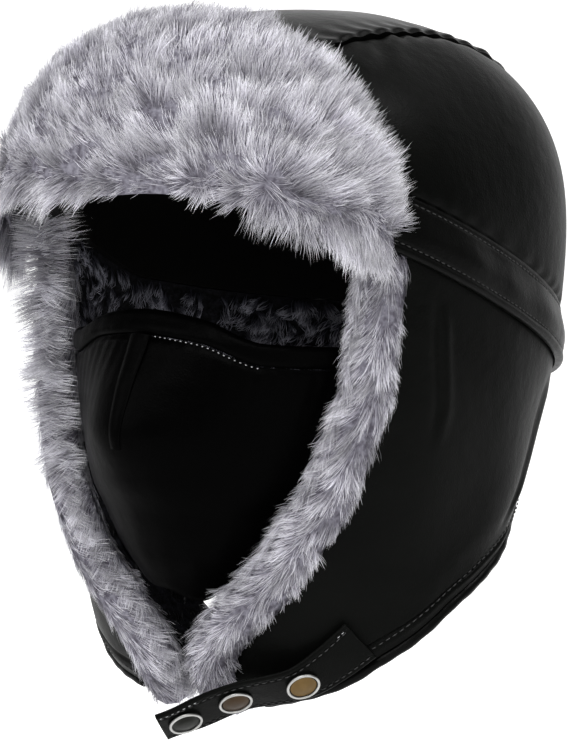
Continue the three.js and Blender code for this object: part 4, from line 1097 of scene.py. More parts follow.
@dataclass
class Lining:
    """Satin in the crown and fur on the inside of the flaps."""

    form: HatForm
    finishes: Finishes
    flaps: EarFlaps
    out: float = -3.7 * MM
    pad: float = 8.5 * MM
    pile: float = 8 * MM
    drop: float = 10.5 * MM
    slope: float = 0.17
    strands: int = 9000
    lip: SmoothTable = SmoothTable(((0.44, 0.0), (0.55, 7), (0.68, 15), (0.8, 20), (0.87, 17), (0.93, 5)))

    def edge(self, angle: Array) -> Array:
        """Level of the line between satin and fur."""
        seam = self.form.seam_level(angle)
        y = self.form.around(angle, seam)[..., 1]
        return np.maximum(seam, self.form.seam_z - self.drop - self.slope * (y - self.form.seam_at_y))

    def satin(self) -> None:
        """Padded crown lining, turned up to meet the band at the brow."""
        u, v = np.meshgrid(np.linspace(0, 1, 120, endpoint=False), np.linspace(0, 1, 37))
        angle = u * 360
        low = self.form.around(angle[0], self.edge(angle[0]) + 0.4 * MM)
        slope = np.arctan2(low[:, 2] - self.form.widest_z, np.hypot(low[:, 0], low[:, 1]))
        turn = (math.pi / 2 - 0.02) * (1 - v) + slope[None] * v
        plan = unit(low * np.array([1, 1, 0]))[None]
        direction = np.concatenate([plan[..., :2] * np.cos(turn)[..., None], np.sin(turn)[..., None]],
                                   axis=-1)
        p = self.form.cast(np.array([0, 0, self.form.widest_z]), direction)
        brow = 1 - ramp(44, 54, np.minimum(angle, 360 - angle))
        outer = self.form.lifted(p, self.out - self.out * brow * ramp(0.9, 1, v))
        ripple = 0.5 * MM * np.sin(u * 40 + 3 * v) * v
        inner = self.form.lifted(p, self.out - self.pad + ripple)
        obj = self.dome("crown_lining_satin", outer, inner)
        place(obj, self.finishes.satin, "crown_lining", slot="satin_black")

    @staticmethod
    def dome(name: str, outer: Array, inner: Array) -> bpy.types.Object:
        """Closed shell of two rings of points that close at the top."""
        rows, columns = outer.shape[:2]
        count = rows * columns
        tops = np.array([outer[0].mean(axis=0), inner[0].mean(axis=0)])
        points = np.concatenate([outer.reshape(-1, 3), inner.reshape(-1, 3), tops])
        face, back = quads_of(rows, columns, 0, True), quads_of(rows, columns, count, True)[:, ::-1]
        index = np.arange(count).reshape(rows, columns)
        index = np.concatenate([index, index[:, :1]], axis=1)
        rim = np.stack([index[-1, :-1], index[-1, 1:], index[-1, 1:] + count, index[-1, :-1] + count],
                       axis=-1)
        cap = np.stack([np.full(columns, 2 * count), index[0, 1:], index[0, :-1]], axis=-1)
        floor = np.stack([np.full(columns, 2 * count + 1), index[0, :-1] + count, index[0, 1:] + count],
                         axis=-1)
        return build_mesh(name, points, [np.concatenate([face, back, rim]), np.concatenate([cap, floor])],
                          points[:, :2].copy())

    def pile_place(self, u: Array, v: Array) -> Array:
        """Points of the form over the fur lining."""
        angle, z = self.flaps.spot(u, v, 0.0, 3 * MM)
        top = 59 + (self.flaps.back_seam - 59) * u
        rise = self.edge(top) - self.form.seam_level(top)
        return self.form.around(angle, z + rise * (1 - v))

    def fur(self, side: Side) -> None:
        """Wool backing and hair that points down and inward."""
        u, v = grid(96, 64)
        p = self.pile_place(u, v)
        lumps = MM * (0.7 * np.sin(u * 50 + 5 * np.sin(v * 20)) * np.sin(v * 44))
        outer = self.form.lifted(p, self.out)
        inner = self.form.lifted(p, self.out - self.pile + 2.5 * MM + lumps)
        obj = slab(f"flap_lining_{side.word}_wool", side.turn(outer), side.turn(inner), (0.22, 0.14))
        place(obj, self.finishes.shaded_lining_wool, f"flap_lining_{side.word}", slot="lining_grey")
        coat = Coat(self.strands, 9 * MM, 0.36 * MM, 0.75, 0.12, 10, 0.6, 1.8 * MM, 0.4, 0.14, 7 + side.value)
        rng = np.random.default_rng(40 + side.value)
        count = coat.strands // coat.clump
        a, b = rng.random(count), 0.01 + 0.98 * rng.random(count) ** 1.3
        q = self.pile_place(a, b)
        down = self.pile_place(a, np.minimum(b + 0.02, 1)) - q
        forward = q - self.pile_place(np.minimum(a + 0.02, 1), b)
        n = -self.form.normal(q)
        swirl = swell(a * 14, b * 9, 2)
        flow = comb(unit(down) + unit(forward) * (0.3 + 0.7 * swirl)[:, None]
                    + rng.normal(0, 0.25, (count, 3)), n)
        roots = self.form.lifted(q, self.out - self.pile + 3 * MM)
        length = coat.length * (0.7 + 0.5 * rng.random(count))
        tone = np.clip(0.5 + 0.25 * swell(a * 11, b * 8, 3) + rng.normal(0, 0.15, count), 0, 1)
        hair = fur_mesh(f"flap_lining_{side.word}_hair", coat, side.turn(roots), side.turn(n),
                        side.turn(flow), length, tone)
        place(hair, self.finishes.lining, slot="lining_grey")

    def lip_at(self, u: Array, down: Array) -> tuple[Array, Array, Array]:
        """Points of the lip, with its outward and inward directions; u runs inward from the trim."""
        edge = self.form.face_edge(down)
        start = self.form.lifted(self.form.around(edge - 3, self.form.level(down)), -12.5 * MM)
        heading = unit(np.stack([-0.57 + 0 * edge, 0.82 + 0 * edge, 0 * edge], axis=-1))
        point = start + heading * (u * self.lip(down) * MM)[..., None]
        point[..., 2] += 3 * MM * u * (1 - u)
        face = unit(np.stack([-0.82 + 0 * edge, -0.57 + 0 * edge, 0 * edge], axis=-1) * -1
                    * np.array([-1, 1, 1]))
        return point, face, heading

    def lips(self, side: Side) -> None:
        """Front edge of the pile, which curls inward past the trim beside the mask."""
        u, v = grid(16, 48)
        down = 0.45 + 0.47 * v
        point, face, _ = self.lip_at(u, down)
        wool = slab(f"flap_lining_{side.word}_lip_wool", side.turn(point + face * 0.8 * MM),
                    side.turn(point - face * 1.6 * MM), (0.02, 0.09))
        place(wool, self.finishes.shaded_lining_wool, slot="lining_grey")
        coat = Coat(2800, 6.5 * MM, 0.42 * MM, 0.7, 0.15, 9, 0.65, 1.2 * MM, 0.4, 0.22, 17 + side.value)
        rng = np.random.default_rng(44 + side.value)
        count = coat.strands // coat.clump
        share, down = rng.random(count), 0.45 + 0.47 * rng.random(count)
        point, face, heading = self.lip_at(share, down)
        flow = heading * 0.5 + np.array([0, 0, -0.9]) + rng.normal(0, 0.5, (count, 3))
        tone = rng.random(count)
        hair = fur_mesh(f"flap_lining_{side.word}_lip_hair", coat, side.turn(point), side.turn(face),
                        side.turn(comb(flow, face)), coat.length * (0.6 + 0.5 * rng.random(count)), tone)
        place(hair, self.finishes.curls, slot="lining_grey")

    def build(self) -> None:
        """Satin and both fur linings."""
        self.satin()
        for side in Side:
            self.fur(side)
            self.lips(side)


@dataclass
class Visor:
    """Leather flap folded up over the brow and the long fur on it."""

    form: HatForm
    finishes: Finishes
    side_angle: float = 58.0
    lift: float = 4.2 * MM
    leather: float = 2.4 * MM
    fur: float = 10 * MM
    rim: float = 3.5 * MM
    edge_y: float = -57 * MM
    parting: SmoothTable = SmoothTable(((0, 0.4), (0.12, 0.3), (0.3, 0.16), (0.5, 0.125), (0.62, 0.1),
                                        (0.69, 0.12), (0.74, 0.16),
        (0.77, 0.21), (0.84, 0.27), (0.87, 0.35), (0.905, 0.5), (1, 0.75)))
    whorl: tuple[float, float] = (0.765, 0.205)
    long: float = 230 * MM
    deep: float = 120 * MM
    edge: SmoothTable = SmoothTable(((0, -0.048), (14, -0.058), (23, -0.052), (31, -0.034), (40, -0.008),
        (46, 0.012), (52, 0.045), (60, 0.055)))
    strands: int = 28800

    def place_at(self, u: Array, v: Array, half: float, drop: float, edge_y: float, turn: float) -> Array:
        """Points of the form between the lower edge (v 0) and the top edge (v 1) of the visor."""
        angle = half * (2 * u - 1)
        low = self.form.around(angle, self.form.level(self.edge(np.abs(angle))) + drop)
        t = turn * RAD * (2 * u - 1)
        origin = np.array([0, edge_y, self.form.widest_z])
        top = self.form.cast(origin, np.stack([np.sin(t), 0 * t, np.cos(t)], axis=-1))
        return self.form.cast_on(low * (1 - v[..., None]) + top * v[..., None])

    def fur_at(self, u: Array, v: Array) -> Array:
        """Points of the form under the fur."""
        return self.place_at(u, v, self.side_angle, 3 * MM, self.edge_y, 93.0)

    def thick(self, u: Array, v: Array) -> Array:
        """Thickness of the fur: thin at its rim and ends, full over the brow, parted above the lower edge."""
        edge = np.minimum(ramp(-0.02, 0.14, v), ramp(0, 0.4, 1 - v))
        full = bump(0.5, 0.27, u) * edge
        return self.rim + (self.fur - self.rim) * full - 2 * MM * bump(0, 0.07, v - self.parting(u)) * full

    def flap(self) -> None:
        """Leather of the visor."""
        u, v = grid(80, 24)
        p = self.place_at(u, v, self.side_angle - 3, 12 * MM, self.edge_y - 5 * MM, 84.0)
        outer, inner = self.form.lifted(p, self.lift + self.leather), self.form.lifted(p, self.lift)
        place(slab("visor_flap_leather", outer, inner, (0.25, 0.07)), self.finishes.leather, "visor_flap")

    def wool(self) -> None:
        """Woolly backing of the fur."""
        u, v = grid(120, 64)
        p = self.fur_at(0.02 + 0.96 * u, 0.05 + 0.9 * v)
        base = self.lift + self.leather + 1.1 * MM
        lumps = MM * (0.6 * np.sin(u * 70 + 4 * np.sin(v * 17)) * np.sin(v * 37))
        outer = self.form.lifted(p, base + 0.55 * self.thick(u, v) + lumps)
        place(slab("visor_fur_wool", outer, self.form.lifted(p, base), (0.25, 0.12)), self.finishes.wool,
              "visor_fur", slot="fur_grey")

    def hair(self, layer: int) -> None:
        """One layer of hair, combed away from the whorl and the parting over the brow."""
        rng = np.random.default_rng(90 + layer)
        coat = Coat(self.strands, (11.5 + 2.5 * layer) * MM, 0.19 * MM, 0.36, 0.10, 8, 0.26, 2.1 * MM, 0.45,
                    0.03, 11 + layer)
        count = coat.strands // coat.clump
        u = 0.01 + 0.945 * rng.random(count)
        low = 0.03 + 0.06 * ramp(0.4, 0.62, u)
        v = low + (0.945 - low) * rng.random(count)
        p = self.fur_at(u, v)
        n = self.form.normal(p)
        up = unit(self.fur_at(u, v + 0.01) - p)
        out = unit(self.fur_at(u + 0.01, v) - p)
        du, dv = (u - self.whorl[0]) * self.long, (v - self.whorl[1]) * self.deep
        far = np.sqrt(du**2 + dv**2 + (11 * MM) ** 2)
        across = (v - self.parting(u)) * self.deep
        side = np.tanh(across / (4 * MM))
        a, b = u * self.long / (16 * MM), v * self.deep / (16 * MM)
        near_whorl = bump(0, 7 * MM, np.hypot(du, dv))
        hang = bump(0, 0.17, u) * ramp(0.1, -0.2, v - self.parting(u))
        along_u = (0.8 * du / far + 0.22 * swell(a, b, 3) * (1 - near_whorl)) * (1 - 0.85 * hang)
        along_v = 0.45 * dv / far + 0.75 * side * (1 - near_whorl) + 0.12 * swell(a, b, 4) - 0.6 * hang
        flow = comb(out * along_u[:, None] + up * along_v[:, None] + rng.normal(0, 0.12, (count, 3)), n)
        height = self.lift + self.leather + 0.6 * MM + (0.45 + 0.12 * swell(a, b, 6)) * self.thick(u, v)
        # valley marks the parting: it shortens and tilts the hair there and darkens its tone as painted shade
        valley = bump(0, 5 * MM, across) * (1 - 0.5 * near_whorl)
        edge = np.minimum(ramp(0, 0.12, u) * ramp(0, 0.12, 1 - u), ramp(0.02, 0.25, 1 - v))
        lean = n * (0.55 + 0.45 * edge)[:, None] + (0.25 - 0.45 * valley + 0.35 * (1 - edge))[:, None] * flow
        length = coat.length * (0.8 + 0.3 * rng.random(count) + 0.14 * swell(a, b, 5)) * (1 - 0.3 * valley)
        length = length * (0.72 + 0.28 * edge) * (1 + 0.9 * hang)
        patch = swell(a * 0.8, b * 0.8, 9) + 0.6 * swell(a * 2.2, b * 2.2, 10)
        # tone: random per lock and in patches, plus painted shade darkening the parting's valley
        tone = np.clip(0.5 + 0.12 * rng.normal(0, 1, count) + 0.2 * patch - 0.45 * valley, 0, 1)
        obj = fur_mesh(f"visor_fur_hair_{layer + 1}", coat, self.form.lifted(p, height), unit(lean), flow,
                       length, tone)
        place(obj, self.finishes.fur, slot="fur_grey")

    def build(self) -> None:
        """Leather, wool and two layers of hair."""
        self.flap()
        self.wool()
        for layer in range(2):
            self.hair(layer)


@dataclass
class FaceTrim:
    """Fur wrapped round the face edge of a flap."""

    form: HatForm
    finishes: Finishes
    front: float = 13 * MM
    back: float = 9 * MM
    high: float = 8 * MM
    deep: float = 12 * MM
    gap: float = 0.7 * MM
    strands: int = 18000
    section: tuple[tuple[float, float], ...] = ((1.0, 0.06), (0.55, 0.75), (-0.33, 1.0), (-1.11, 0.62),
                                                (-1.44, -0.17),
        (-1.22, -0.75), (-0.44, -1.0), (-0.09, -0.92), (-0.09, 0.06))

    def frames(self, share: Array) -> tuple[Array, Array, Array, Array, Array]:
        """Point of the leather edge, direction down it, normal, direction back from the face, and height."""
        down = 0.04 + (0.93 - 0.04) * share

        def edge(d: Array) -> Array:
            return self.form.around(self.form.face_edge(d), self.form.level(d))

        point = edge(down)
        along = unit(edge(down + 0.004) - edge(down - 0.004))
        n = self.form.normal(point)
        back = unit(np.cross(along, n))
        flip = np.where(dot(back, np.array([1.0, 1.0, 0.0])) < 0, -1, 1)
        thin = 0.36 + 0.64 * ramp(0.02, 0.14, share)
        end = 0.75 + 0.25 * ramp(0, 0.06, 1 - share)
        return point, along, n, back * flip, self.high * thin * end

    def spots(self, share: Array, back: Array, lift: Array) -> Array:
        """Points of the trim at shares down it, and at a place of the section."""
        point, _, n, outward, high = self.frames(share)
        reach = np.where(back > 0, self.back, self.front / 1.44)
        rise = np.where(lift > 0, high, self.deep)
        low = np.where((lift > 0.1) | (lift < 0), lift * rise, self.gap)
        p = point + outward * (back * reach)[..., None]
        over = self.form.lifted(self.form.cast_on(p), low)
        return np.where((back > 0)[..., None], over, p + n * low[..., None])

    def wool(self, side: Side) -> None:
        """Woolly core, a little thinner than the fur."""
        share, corner = np.meshgrid(np.linspace(0, 1, 120), np.arange(len(self.section)), indexing="ij")
        table = np.array(self.section)
        b, l = table[corner, 0] * 0.86, table[corner, 1] * np.where(table[corner, 1] > 0, 0.72, 0.86)
        b = np.where(table[corner, 0] == -0.09, -0.09, b)
        obj = swept(f"trim_fur_{side.word}_wool", side.turn(self.spots(share, b, l)), None, None)
        place(obj, self.finishes.wool, f"trim_fur_{side.word}", slot="fur_grey")

    def hair(self, side: Side) -> None:
        """Hair parted along the middle, swept down and to both sides."""
        rng = np.random.default_rng(60 + side.value)
        coat = Coat(self.strands, 11 * MM, 0.2 * MM, 0.34, 0.05, 9, 0.34, 1.8 * MM, 0.4, 0.03,
                    31 + side.value)
        count = coat.strands // coat.clump
        first = -0.05 if side is Side.RIGHT else -0.025
        share = first + (0.975 - first) * rng.random(count)
        table = np.array(self.section)[:8]
        at = rng.random(count) ** 0.9 * 7
        i = np.minimum(at.astype(int), 6)
        t = (at - i)[:, None]
        corner = table[i] * (1 - t) + table[i + 1] * t
        b, l = corner[:, 0] * 0.78, corner[:, 1] * np.where(corner[:, 1] > 0, 0.62, 0.8)
        _, along, n, outward, _ = self.frames(share)
        roots = self.spots(share, b, l)
        angle_out = np.arctan2(corner[:, 1], corner[:, 0] + 0.25)
        normal = unit(outward * np.cos(angle_out)[:, None] + n * np.sin(angle_out)[:, None])
        around = unit(np.cross(along, normal))
        turn = np.where(dot(around, outward) < 0, -1, 1)
        a = share * 14
        sideways = (np.tanh((corner[:, 0] + 0.25) / 0.3) * (0.85 if side is Side.RIGHT else 0.66) + 0.13
                    * swell(a, corner[:, 0], 21 + side.value))
        inner = ramp(-0.1, -0.9, corner[:, 0]) * (ramp(0.62, 0.4, share) if side is Side.RIGHT else 0.1)
        top = bump(-0.05, 0.1, share) if side is Side.RIGHT else 0.0
        sideways = sideways * (1 + 0.9 * inner)
        down = (0.9 - 0.35 * inner + 0.12 * swell(a, corner[:, 0], 23)) * (1 - 1.6 * top)
        flow = along * down[:, None] + around * turn * sideways[:, None] + rng.normal(0, 0.11, (count, 3))
        length = coat.length * (0.8 + 0.4 * rng.random(count)) * (1 + 0.5 * inner) * (1 + 0.5 * top)
        patch = swell(a, corner[:, 1], 25) + 0.6 * swell(2.4 * a, corner[:, 1] * 2, 26)
        tone = np.clip(0.52 + 0.12 * rng.normal(0, 1, count) + 0.24 * patch, 0, 1)
        obj = fur_mesh(f"trim_fur_{side.word}_hair", coat, side.turn(roots), side.turn(normal),
                       side.turn(comb(flow, normal)), length, tone)
        place(obj, self.finishes.fur, slot="fur_grey")

    def build(self) -> None:
        """Both trims."""
        for side in Side:
            self.wool(side)
            self.hair(side)


@dataclass
class Mask:
    """Face mask held behind the trims by loops and buttons."""

    form: HatForm
    finishes: Finishes
    trim: FaceTrim
    leather: float = 2.2 * MM
    band_leather: float = 3.4 * MM
    band_height: float = 8.5 * MM
    tuck: float = 14.5 * MM
    nose_rise: float = 12 * MM
    foot: float = 0.688
    reach: SmoothTable = SmoothTable(((0.14, 0.745), (0.2, 0.79), (0.29, 0.822), (0.375, 0.838),
                                      (0.465, 0.828),
        (0.54, 0.8), (0.622, 0.76), (0.7, 0.705)))
    nose: SmoothTable = SmoothTable(((0.14, 0.25), (0.2, 0.33), (0.29, 0.75), (0.375, 1.0), (0.465, 0.58),
        (0.54, 0.17), (0.622, 0.0), (0.7, 0.0)))
    top: SmoothTable = SmoothTable(((0, 0.138), (0.25, 0.15), (0.55, 0.195), (1, 0.205)))

    def point(self, share: Array, z: Array) -> Array:
        """Points of the mask at shares of its half width and levels."""
        share, z = np.broadcast_arrays(np.asarray(share, float), np.asarray(z, float))
        form = self.form
        down = form.down(z)
        edge = form.face_edge(down)
        radius = form.front_reach * form.front(np.clip(down, 0, 1))
        lean = (form.face_edge(down - 0.01) - form.face_edge(down + 0.01)) * RAD * radius / (0.02
                                                                                             * form.face_drop)
        held = edge - self.trim.front * np.hypot(1, lean) / radius / RAD - 1
        angle = share * (edge + 2)
        inside = form.lifted(form.around(angle, z), -self.tuck)
        middle = form.lifted(form.around(0 * angle, z), -self.tuck)
        rise = form.front_reach * self.reach(down) + middle[..., 1]
        part = np.clip(np.abs(angle) / held, 0, 1)
        out = rise * (1 - part**2) ** 1.4 + self.nose_rise * self.nose(down) * np.exp(-((angle / 15) ** 2))
        p = inside + np.stack([np.sin(angle * RAD), -np.cos(angle * RAD), 0 * angle], axis=-1) * out[...,
                                                                                                     None]
        p[..., 2] = z
        return p

    def normal(self, share: Array, z: Array) -> Array:
        """Outward normals of the mask."""
        across = self.point(share + 0.01, z) - self.point(share - 0.01, z)
        up = self.point(share, z + 0.5 * MM) - self.point(share, z - 0.5 * MM)
        return unit(np.cross(across, up))

    def top_z(self, share: Array) -> Array:
        """Level of the top edge."""
        return self.form.level(self.top(np.abs(share)))

    def sheet(self, name: str, share: Array, z: Array, outer: Array, inner: Array,
              size: tuple[float, float]) -> bpy.types.Object:
        """Closed sheet on the mask between two lifts."""
        p, n = self.point(share, z), self.normal(share, z)
        return slab(name, p + n * outer[..., None], p + n * inner[..., None], size)

    def body(self) -> None:
        """Mask leather: fine upright wrinkles below the band, drawn in at its seam."""
        u, v = np.meshgrid(np.linspace(0, 1, 161), crowded(92, (0, 0.04, 2), (1, 0.03, 2)))
        share = 2 * u - 1
        top = self.top_z(share) - self.band_height - 0.5 * MM
        foot = self.form.level(self.foot - 0.04 * share**2) - 6.4 * MM * bump(0.3, 0.17, share)
        z = top * (1 - v) + foot * v
        fine = (0.09 * np.sin(share * 95 + 3 * np.sin(v * 6)) * (1 - ramp(0.05, 0.35, v)) + 0.05
                * np.sin(share * 37 + 5 * v))
        soft = 0.45 * np.sin(share * 7 + 1 + 2 * v) * np.sin(v * 6)
        lift = MM * (fine + soft * np.sin(np.pi * v) - 0.8 * bump(0, 0.02, v) - 0.5 * bump(1, 0.015, v))
        obj = self.sheet("mask_body_leather", share, z, lift, np.full_like(u, -self.leather), (0.2, 0.1))
        place(obj, self.finishes.mask, "mask_body")

    def band(self) -> None:
        """Folded top band with a rounded upper edge and a double seam below."""
        u, v = grid(240, 24)
        share = 2 * u - 1
        z = self.top_z(share) - self.band_height * v
        fat = (self.band_leather - self.leather) / 2
        round_off = 1 - np.abs(2 * v - 1) ** 4
        outer = fat * (2.6 * round_off - 0.6) + MM * 0.05 * np.sin(share * 70) * round_off
        inner = -self.leather - fat * (2.0 * round_off - 1.0)
        obj = self.sheet("mask_band_leather", share, z, outer, inner, (0.2, 0.0085))
        place(obj, self.finishes.mask, "mask_band")
        line = np.linspace(0.07, 0.52, 200)
        z = self.top_z(line) - self.band_height - 1.0 * MM
        n = self.normal(line, z)
        row = stitches("mask_stitches", [(self.point(line, z) + n * 0.1 * MM, n)], 2.3 * MM, 0.8 * MM,
                       0.22 * MM)
        place(row, self.finishes.bright)

    def dart(self) -> None:
        """Folded dart beside the nose, rolled at its long edges and tapering downward."""
        u, v = grid(16, 60)
        wide = 0.05 * (1 - 0.55 * v)
        share = wide * (2 * u - 1)
        z = self.top_z(share) - self.band_height - 1 * MM - 42 * MM * v
        outer = MM * (0.3 + 1.5 * np.sin(math.pi * np.clip(u, 0.06, 0.94)) ** 0.6 * (1 - 0.5 * v))
        obj = self.sheet("mask_dart_leather", share, z, outer, np.full_like(u, 0.2 * MM), (0.01, 0.042))
        place(obj, self.finishes.mask, "mask_dart")

    def loop(self, side: Side) -> None:
        """Elastic loop and the button it is hooked on."""
        z = float(self.top_z(np.array(1.0))) - self.band_height / 2
        angle = float(self.form.face_edge(self.form.down(z))) + 2 + 8.2
        on = self.form.around(angle, z)
        axis = -self.form.normal(on)
        foot = on + axis * (3.7 * MM + 8 * MM + 0.3 * MM)
        profile = MM * np.array([[0, 0], [3.2, 0], [3.2, 3.2], [3.5, 3.5], [4.3, 3.8], [4.4, 4.3], [4.2, 4.8],
                                 [2.0, 5.3],
                                 [0, 5.4]])
        button = turned(f"mask_button_{side.word}_metal", side.turn(foot), side.turn(axis), profile, 40)
        place(button, self.finishes.black, f"mask_button_{side.word}", slot="snap_black")
        centre = foot + axis * 1.9 * MM
        x = unit(np.cross([0, 0, 1.0], axis))
        y = np.cross(axis, x)
        turn = np.linspace(0, 2 * math.pi, 60, endpoint=False)[:, None]
        path = centre + 5.6 * MM * (np.cos(turn) * x + np.sin(turn) * y)
        n = np.broadcast_to(axis, path.shape)
        cord = tube(f"mask_loop_{side.word}_elastic", side.turn(path), side.turn(n), circle(0.9 * MM, 12),
                    ring=True)
        place(cord, self.finishes.elastic, f"mask_loop_{side.word}", slot="lining_grey")

    def tab(self) -> None:
        """Small tab under the lower edge."""
        share = 0.42
        z = float(self.form.level(self.foot - 0.04 * share**2)) - 0.7 * MM
        corners = np.array([[share - 0.11, 0], [share + 0.13, 0], [share + 0.03, 5.5 * MM]])
        p = self.point(corners[:, 0], np.full(3, z)) - self.normal(corners[:, 0], np.full(3, z)) * 0.4 * MM
        p[:, 2] = z - corners[:, 1]
        back = p - self.normal(corners[:, 0], np.full(3, z)) * 1.0 * MM
        points = np.concatenate([p, back])
        faces = [np.array([[0, 1, 2], [5, 4, 3]]), np.array([[0, 3, 4, 1], [1, 4, 5, 2], [2, 5, 3, 0]])]
        obj = build_mesh("mask_tab_cloth", points, faces, points[:, :2].copy(), 30)
        place(obj, self.finishes.elastic, "mask_tab", slot="lining_grey")

    def build(self) -> None:
        """The whole mask."""
        self.body()
        self.band()
        self.dart()
        self.tab()
        for side in Side:
            self.loop(side)


@dataclass
class ChinStrap:
    """Strap sewn to the left flap, with three snaps and a free square end."""

    form: HatForm
    finishes: Finishes
    width: float = 20 * MM
    leather: float = 2.4 * MM
    snap_radius: float = 6.6 * MM
    snap_rim: float = 1.1 * MM
    snaps: tuple[float, ...] = (0.385, 0.61, 0.825)
    sewn: tuple[tuple[float, float, float], ...] = ((55.3, 13.2, 0.4), (48.5, 10.0, 0.8), (40.0, 7.6, 4.0))
    free: tuple[tuple[float, float, float], ...] = ((0.355, 0.675, 0.886), (0.196, 0.769, 0.927),
                                                    (0.115, 0.826, 0.947))

    def route(self) -> Array:
        """Chosen points of the centre line."""
        rest = 0.7 * MM + self.leather / 2
        points = []
        for angle, rise, lift in self.sewn:
            on = self.form.around(angle, self.form.level(self.form.hem(angle)) + rise * MM)
            points.append(self.form.lifted(on, rest + lift * MM))
        for across, reach, down in self.free:
            level = float(self.form.level(down))
            points.append(np.array([across * self.form.half_width, -reach * self.form.front_reach, level]))
        return np.array(points)

    @staticmethod
    def smooth(points: Array, count: int) -> Array:
        """Centripetal curve through points, read at even shares of its parameter."""
        ends = np.concatenate([[2 * points[0] - points[1]], points, [2 * points[-1] - points[-2]]])
        out = []
        spans = len(points) - 1
        for share in np.linspace(0, spans, count):
            k = min(int(share), spans - 1)
            w = share - k
            p0, p1, p2, p3 = ends[k:k + 4]
            d = [max(np.linalg.norm(b - a) ** 0.5, 1e-9) for a, b in ((p0, p1), (p1, p2), (p2, p3))]
            m1 = ((p1 - p0) / d[0] - (p2 - p0) / (d[0] + d[1]) + (p2 - p1) / d[1]) * d[1]
            m2 = ((p2 - p1) / d[1] - (p3 - p1) / (d[1] + d[2]) + (p3 - p2) / d[2]) * d[1]
            w2, w3 = w * w, w * w * w
            out.append((2 * w3 - 3 * w2 + 1) * p1 + (w3 - 2 * w2 + w) * m1 + (3 * w2 - 2 * w3) * p2
                       + (w3 - w2) * m2)
        return np.array(out)

    def frames(self, count: int) -> tuple[Array, Array, Array, Array]:
        """Centre line, direction along, direction of the face, and direction across."""
        path = self.smooth(self.route(), count)
        along = tangents(path)
        tilt = 0.28 + 1.02 * np.minimum(1, 1.6 * np.linspace(0, 1, count))
        face = unit(path * np.array([1, 1, 0])) + np.array([0, 0, -1.0]) * tilt[:, None]
        face = unit(face - along * dot(face, along))
        return path, along, face, np.cross(along, face)

    def strap(self) -> None:
        """Two layers of leather with rolled long edges and a row of stitches inside each."""
        path, _, face, side = self.frames(100)
        half, thick = self.width / 2, self.leather / 2
        across = np.concatenate([np.linspace(half, -half, 41), np.linspace(-half, half, 15)])
        rim = np.sqrt(np.clip(1 - ((np.abs(across) - half + 1.1 * MM) / (1.1 * MM)).clip(0) ** 2, 0, 1))
        crown = 0.3 * MM * (1 - (across / half) ** 2)
        groove = -0.35 * MM * bump(half - 2.4 * MM, 0.45 * MM, np.abs(across))
        top = (thick + crown + groove) * (0.25 + 0.75 * rim)
        lift = np.where(np.arange(56) < 41, top, -thick * (0.25 + 0.75 * rim))
        points = path[:, None] + side[:, None] * across[None, :, None] + face[:, None] * lift[None, :, None]
        obj = swept("chin_strap_leather", points, None, 60)
        place(obj, self.finishes.leather, "chin_strap")
        rows = []
        for sign in (1, -1):
            line = path[4:-3] + side[4:-3] * sign * (half - 2.4 * MM) + face[4:-3] * thick
            rows.append((line, face[4:-3]))
        place(stitches("strap_stitches", rows, 3.0 * MM, 2.1 * MM, 0.28 * MM), self.finishes.thread)
        edge = side[4:-3] * (half - 1.6 * MM) + face[4:-3] * (thick + 0.1 * MM) + path[4:-3]
        free, sewn = slice(-24, None), slice(0, 4)
        ends = [(edge[free], face[4:-3][free]), (edge[sewn], face[4:-3][sewn])]
        place(stitches("strap_end_stitches", ends, 2.2 * MM, 1.1 * MM, 0.2 * MM), self.finishes.bright)

    def snap(self, number: int, share: float) -> None:
        """Snap: rolled silver rim round a domed cap."""
        path, _, face, _ = self.frames(401)
        i = int(round(share * 400))
        foot = path[i] + face[i] * (self.leather / 2 + 0.75 * MM)
        r, inside = self.snap_radius, self.snap_radius - self.snap_rim
        turn = np.linspace(0, 2 * math.pi, 16, endpoint=False)
        rim = np.stack([r - self.snap_rim / 2 + self.snap_rim / 2 * np.cos(turn),
                        0.62 * MM + 0.62 * MM * np.sin(turn)], axis=-1)
        ring = turned(f"snap_ring_{number}_metal", foot, face[i], rim, 64)
        place(ring, self.finishes.silver, f"snap_ring_{number}", slot="snap_silver")
        profile = np.array([[0, 0], [inside - 0.35 * MM, 0], [inside - 0.25 * MM, 0.3 * MM],
                            [inside - 0.4 * MM, 0.7 * MM],
            [inside - 1.2 * MM, 0.75 * MM], [inside * 0.55, 1.15 * MM], [inside * 0.25,
                                                                         1.3 * MM], [0, 1.32 * MM]])
        cap = turned(f"snap_cap_{number}_metal", foot, face[i], profile, 64)
        # Snaps 1 and 2 share one bronze, painted lighter on cap 1 and darker on cap 2
        finish = (self.finishes.lit_bronze, self.finishes.bronze, self.finishes.black)[number - 1]
        place(cap, finish, f"snap_cap_{number}", slot="snap_black" if number == 3 else "snap_bronze")

    def build(self) -> None:
        """Strap and snaps."""
        self.strap()
        for number, share in enumerate(self.snaps, 1):
            self.snap(number, share)


